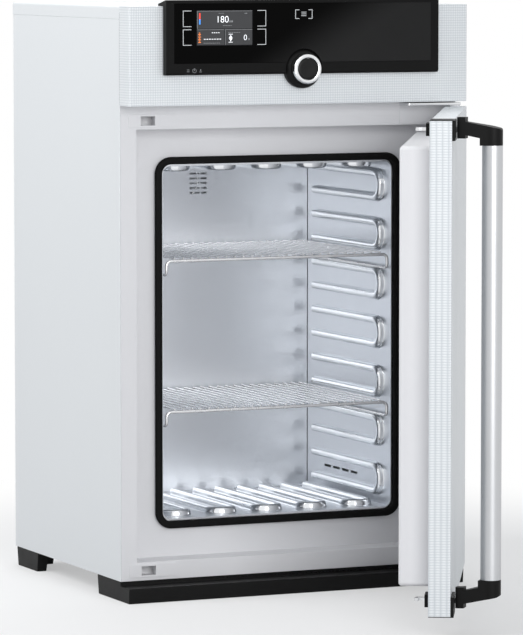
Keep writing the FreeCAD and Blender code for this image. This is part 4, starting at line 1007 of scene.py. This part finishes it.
@dataclass
class ControlHead:
    """Control head: linen fascia, bezel, pane, display with its marks, and the knob."""

    shop: Workshop
    lift: float = 0.0002
    stroke: float = 0.0009
    segments: int = 96
    key_x: float = -0.1880
    key_z: float = 0.8335
    key_radius: float = 0.0031

    def bar(self, bm: bmesh.types.BMesh, x0: float, x1: float, z0: float, z1: float,
            y: float) -> None:
        """A thin mark that stands on a face at y."""
        slab(bm, (x0, y - self.lift, z0), (x1, y, z1), 0.00005)

    def bracket(self, bm: bmesh.types.BMesh, x0: float, x1: float, z0: float, z1: float,
                y: float, opens: str) -> None:
        """A touch key's bracket of thin bars, open to the left or right."""
        s = self.stroke
        self.bar(bm, x0, x1, z1 - s, z1, y)
        self.bar(bm, x0, x1, z0, z0 + s, y)
        upright = (x0, x0 + s) if opens == "right" else (x1 - s, x1)
        self.bar(bm, *upright, z0 + s, z1 - s, y)

    def keys(self) -> None:
        """Touch keys beside the display, and the small key in the middle."""
        low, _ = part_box("panel_glass")
        y = low.y
        bm = bmesh.new()
        for z0, z1 in ((0.9016, 0.9268), (0.8728, 0.8977)):
            self.bracket(bm, -0.2075, -0.1932, z0, z1, y, "right")
            self.bracket(bm, -0.0810, -0.0661, z0, z1, y, "left")
        self.bracket(bm, -0.0158, -0.0088, 0.9128, 0.9273, y, "right")
        self.bracket(bm, 0.0068, 0.0138, 0.9128, 0.9273, y, "left")
        for i in range(3):
            self.bar(bm, -0.0052, 0.0032, 0.9172 + i * 0.0028, 0.9180 + i * 0.0028, y)
        self.shop.piece("touch_marks", bm, "cabinet", Palette.mark, "display_face")

    def standby_marks(self) -> None:
        """Small ring, bar and dot low on the left, as on a power key."""
        low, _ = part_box("panel_bezel")
        y = low.y
        bm = bmesh.new()
        x, z, radius = self.key_x, self.key_z, self.key_radius
        turns = [math.radians(120 + 300 * i / 24) for i in range(25)]
        path = [Vector((x + radius * math.cos(t), y - 0.0001, z + radius * math.sin(t)))
                for t in turns]
        tube_along(bm, path, 0.0003, 6)
        self.bar(bm, x - 0.0003, x + 0.0003, z, z + 1.3 * radius, y)
        for step in (-1, 1):
            self.bar(bm, x - 0.0125, x - 0.0085, z - 0.0003 + 0.0014 * step,
                     z + 0.0003 + 0.0014 * step, y)
        self.bar(bm, x + 0.0085, x + 0.0125, z - 0.0022, z - 0.0016, y)
        self.bar(bm, x + 0.0100, x + 0.0110, z - 0.0004, z + 0.0022, y)
        self.shop.piece("standby_marks", bm, "cabinet", Palette.dim, "display_face")

    def lettering(self, name: str, text: str, size: float, place: Point, finish: Any) -> None:
        """Plain digits on the display.

        Args:
            name: The piece's name.
            text: Digits.
            size: Height of the letters' line.
            place: Left end of the base line.
            finish: Their finish.
        """
        curve = bpy.data.curves.new(name, "FONT")
        curve.body = text
        curve.size = size
        curve.extrude = 0.00006
        curve.offset = -0.00018
        holder = bpy.data.objects.new(name + "_curve", curve)
        bpy.context.scene.collection.objects.link(holder)
        bpy.context.view_layer.update()
        mesh = bpy.data.meshes.new_from_object(holder)
        bpy.data.objects.remove(holder)
        mesh.transform(Matrix.Translation(Vector(place)) @ Matrix.Rotation(math.pi / 2, 4, "X"))
        bm = bmesh.new()
        bm.from_mesh(mesh)
        bpy.data.meshes.remove(mesh)
        self.shop.piece(name, bm, "cabinet", finish, "display_face")

    def strokes(self, name: str, bars: Sequence[tuple[float, float, float, float]],
                finish: Any) -> None:
        """Thin bars on the display.

        Args:
            name: The piece's name.
            bars: (x0, x1, z0, z1) from the display's lower left corner, in millimetres.
            finish: Their finish.
        """
        low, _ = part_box("display_module")
        bm = bmesh.new()
        for x0, x1, z0, z1 in bars:
            self.bar(bm, low.x + x0 / 1000, low.x + x1 / 1000, low.z + z0 / 1000,
                     low.z + z1 / 1000, low.y - self.lift)
        self.shop.piece(name, bm, "cabinet", finish, "display_face")

    @staticmethod
    def row(x0: float, x1: float, pitch: float, count: int, z0: float,
            z1: float) -> list[tuple[float, float, float, float]]:
        """A row of like bars for strokes()."""
        return [(x0 + pitch * i, x1 + pitch * i, z0, z1) for i in range(count)]

    def display(self) -> None:
        """Three tiles with generic readings: a number, a row of dashes and a flap setting."""
        low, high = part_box("display_module")
        y = low.y
        wide, tall = 1000 * (high.x - low.x), 1000 * (high.z - low.z)
        edge, split, shelf = 1.2, 0.50 * wide, 0.47 * tall
        tiles = bmesh.new()
        for x0, x1, z0, z1 in ((edge, wide - edge, shelf + 0.5, tall - edge),
                               (edge, split - 0.6, edge, shelf - 0.5),
                               (split + 0.6, wide - edge, edge, shelf - 0.5)):
            slab(tiles, (low.x + x0 / 1000, y - self.lift, low.z + z0 / 1000),
                 (low.x + x1 / 1000, y, low.z + z1 / 1000), 0.0001)
        self.shop.piece("screen_tiles", tiles, "cabinet", Palette.tile, "display_face")
        top = tall - edge
        self.strokes("tile_rims", [(edge, wide - edge, top - 0.5, top),
                                   (edge, split - 0.6, shelf - 1.1, shelf - 0.6),
                                   (split + 0.6, wide - edge, shelf - 1.1, shelf - 0.6),
                                   (edge, edge + 0.5, shelf + 0.5, top),
                                   (split + 0.6, split + 1.1, edge, shelf - 0.6)], Palette.dim)
        face = y - self.lift
        self.lettering("reading_main", "180", 0.0148, (low.x + 0.0330, face, low.z + 0.0362),
                       Palette.digits)
        self.lettering("reading_flap", "0", 0.0125, (low.x + 0.0800, face, low.z + 0.0085),
                       Palette.digits)
        self.strokes("thermometer_hot", [(4.4, 6.8, 41.5, 51.0)], Palette.red)
        self.strokes("thermometer_cold", [(4.4, 6.8, 33.5, 41.5)], Palette.blue)
        row = self.row
        self.strokes("dash_row", row(12.5, 15.4, 4.4, 7, 10.0, 11.0)
                     + row(26.0, 28.2, 3.6, 4, 20.0, 20.9), Palette.digits)
        unit = (row(56.0, 57.3, 2.2, 3, 36.4, 39.4) + row(45.0, 46.6, 2.6, 6, 31.0, 31.8)
                + row(38.0, 39.4, 2.4, 4, 50.2, 50.9)
                + [(82.0, 83.4, 49.6, 51.0), (84.4, 86.0, 49.6, 51.0), (88.4, 90.0, 8.6, 11.4)]
                + row(12.0, 14.2, 3.2, 9, 4.0, 4.7) + row(54.0, 56.0, 3.0, 7, 20.2, 20.9))
        self.strokes("small_marks", unit, Palette.dim)
        flap = [(54.6, 61.6, 17.6, 18.3), (54.6, 61.6, 5.2, 5.9), (57.6, 58.6, 6.8, 16.6)]
        flap += [(58.1 - w, 58.1 + w, 11.7 + h, 12.3 + h) for w, h in
                 ((1.0, -3.2), (2.1, -2.2), (2.8, -1.1), (3.0, 0.0), (2.8, 1.1), (2.1, 2.2))]
        self.strokes("flap_icon", flap, Palette.digits)
        coil = []
        for i in range(4):
            coil += [(3.0, 7.4, 5.0 + 4.2 * i, 6.1 + 4.2 * i),
                     (4.2, 6.2, 7.2 + 4.2 * i, 8.2 + 4.2 * i)]
        self.strokes("heating_icon", coil, Palette.amber)

    def knob(self) -> None:
        """Boss, bright ring and domed cap, turned with fine steps."""
        low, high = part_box("turn_ring")
        centre = ((low.x + high.x) / 2, 0.0, (low.z + high.z) / 2)
        outer, inner, hole = (high.x - low.x) / 2, 0.0170, 0.00505
        y0, y1 = high.y, low.y
        bm = bmesh.new()
        lathe(bm, [(hole, y0), (outer - 0.0012, y0), (outer - 0.0003, y0 - 0.0004),
                   (outer, y0 - 0.0014), (outer, y1 + 0.0030), (outer - 0.0004, y1 + 0.0014),
                   (outer - 0.0013, y1 + 0.0004), (outer - 0.0026, y1), (inner + 0.0022, y1),
                   (inner + 0.0009, y1 + 0.0004), (inner + 0.0002, y1 + 0.0014),
                   (inner, y1 + 0.0028), (inner, y0 - 0.004), (hole, y0 - 0.004)], centre,
              self.segments)
        self.shop.piece("knob_ring", bm, "turn_ring", Palette.ring, "ring_metal", ["turn_ring"],
                        30.0)
        low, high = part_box("confirm_cap")
        radius, face = (high.x - low.x) / 2, low.y
        bm = bmesh.new()
        lathe(bm, [(0.0, high.y), (0.00245, high.y), (0.00245, face + 0.006),
                   (radius, face + 0.006), (radius, face + 0.0016),
                   (radius - 0.0004, face + 0.0008),
                   (radius - 0.0014, face + 0.0003), (radius - 0.0040, face + 0.0001),
                   (radius * 0.5, face + 0.0005), (0.0, face + 0.0009)], centre, self.segments)
        self.shop.piece("knob_cap", bm, "confirm_cap", Palette.cap, "black_moulding",
                        ["confirm_cap"], 30.0)
        self.shop.soften("knob_boss", 0.0010, Palette.black)

    def build(self) -> None:
        """Fascia, bezel, pane, display, keys and knob."""
        self.shop.soften("head_shell", 0.0007, Palette.linen)
        self.shop.soften("panel_bezel", 0.0008)
        self.shop.soften("panel_glass", 0.0003)
        self.shop.soften("display_module", 0.0002)
        self.display()
        self.keys()
        self.standby_marks()
        self.knob()


@dataclass
class Studio:
    """Pale floor, soft lamps, bright surroundings and the camera."""

    eye: Point = (-2.927634, -6.404674, 1.044867)
    heading: float = math.radians(24.195)
    dip: float = math.radians(4.927)
    lens: float = 252.0
    sensor: float = 36.0
    floor_half: float = 14.0
    room_light: float = 0.54

    def camera(self) -> None:
        """Camera at the photograph's viewing angle."""
        data = bpy.data.cameras.new("camera")
        data.lens = self.lens
        data.sensor_width = self.sensor
        data.sensor_fit = "AUTO"
        data.clip_end = 60.0
        ahead = Vector((math.sin(self.heading) * math.cos(self.dip),
                        math.cos(self.heading) * math.cos(self.dip), -math.sin(self.dip)))
        obj = bpy.data.objects.new("camera", data)
        bpy.context.scene.collection.objects.link(obj)
        obj.location = self.eye
        obj.rotation_euler = ahead.to_track_quat("-Z", "Y").to_euler()
        bpy.context.scene.camera = obj

    def surroundings(self) -> None:
        """World that lights softly and looks white to the camera and in reflections."""
        graph = Graph("room", "worlds")
        bpy.context.scene.world = graph.material
        light = graph.node("ShaderNodeBackground", {}, {"Color": (0.93, 0.96, 1.0, 1.0),
                                                        "Strength": self.room_light})
        seen = graph.node("ShaderNodeBackground", {}, {"Color": (1.0, 1.0, 1.0, 1.0)})
        mixed = graph.node("ShaderNodeMixShader", {}, {0: graph.seen_rays(), 1: light, 2: seen})
        graph.node("ShaderNodeOutputWorld", {}, {"Surface": mixed})

    def floor(self) -> None:
        """Pale floor that keeps the shadow and whitens for the camera."""
        graph = Graph("pale_floor")
        ray = graph.seen_rays()
        seen = graph.blend(graph.noise(0.8, 2.0), (0.80, 0.80, 0.80), (0.79, 0.79, 0.79))
        tone = graph.blend(ray, (0.40, 0.40, 0.41), seen)
        matt = graph.node("ShaderNodeBsdfDiffuse", {}, {"Color": tone})
        white = graph.node("ShaderNodeEmission", {}, {"Color": (1.0, 1.0, 1.0, 1.0)})
        far = graph.node("ShaderNodeVectorMath", {"operation": "LENGTH"}, {0: graph.place()},
                         "Value")
        share = graph.ramp(far, 0.7, 1.5, 0.40, 1.0)
        mixed = graph.node("ShaderNodeMixShader", {}, {0: ray * share, 1: matt, 2: white})
        graph.node("ShaderNodeOutputMaterial", {}, {"Surface": mixed})
        reach = self.floor_half
        mesh = bpy.data.meshes.new("floor")
        mesh.from_pydata([(-reach, -reach, 0), (reach, -reach, 0), (reach, reach, 0),
                          (-reach, reach, 0)], [], [(0, 1, 2, 3)])
        mesh.materials.append(graph.material)
        obj = bpy.data.objects.new("floor", mesh)
        bpy.context.scene.collection.objects.link(obj)

    def lamp(self, name: str, place: Point, aim: Point, size: float, power: float) -> None:
        """One soft square lamp.

        Args:
            name: The lamp's name.
            place: Where it stands.
            aim: What it points at.
            size: Side of its face.
            power: Watts.
        """
        data = bpy.data.lights.new(name, "AREA")
        data.size = size
        data.energy = power
        obj = bpy.data.objects.new(name, data)
        bpy.context.scene.collection.objects.link(obj)
        obj.location = place
        obj.rotation_euler = (Vector(aim) - Vector(place)).to_track_quat("-Z", "Y").to_euler()

    def build(self) -> None:
        """Everything round the object."""
        self.camera()
        self.surroundings()
        self.floor()
        middle = (0.0, 0.2, 0.45)
        self.lamp("side", (-2.2, 0.2, 2.3), (-0.3, 0.2, 0.9), 1.6, 44.0)
        self.lamp("front", (-0.5, -4.3, 1.35), middle, 2.2, 76.0)
        self.lamp("top", (0.4, 1.9, 2.8), middle, 1.2, 18.0)
        bpy.context.scene.view_settings.view_transform = "Standard"


def main() -> None:
    """Builds every sub-assembly around the frame and reports the pieces."""
    logging.basicConfig(level=logging.INFO, format="%(message)s")
    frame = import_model()
    Studio().build()
    shop = Workshop(frame)
    Cabinet(shop).build()
    Chamber(shop).build()
    Door(shop).build()
    ControlHead(shop).build()
    shop.dress_nodes()
    bpy.context.view_layer.update()


if __name__ == "__main__":
    main()
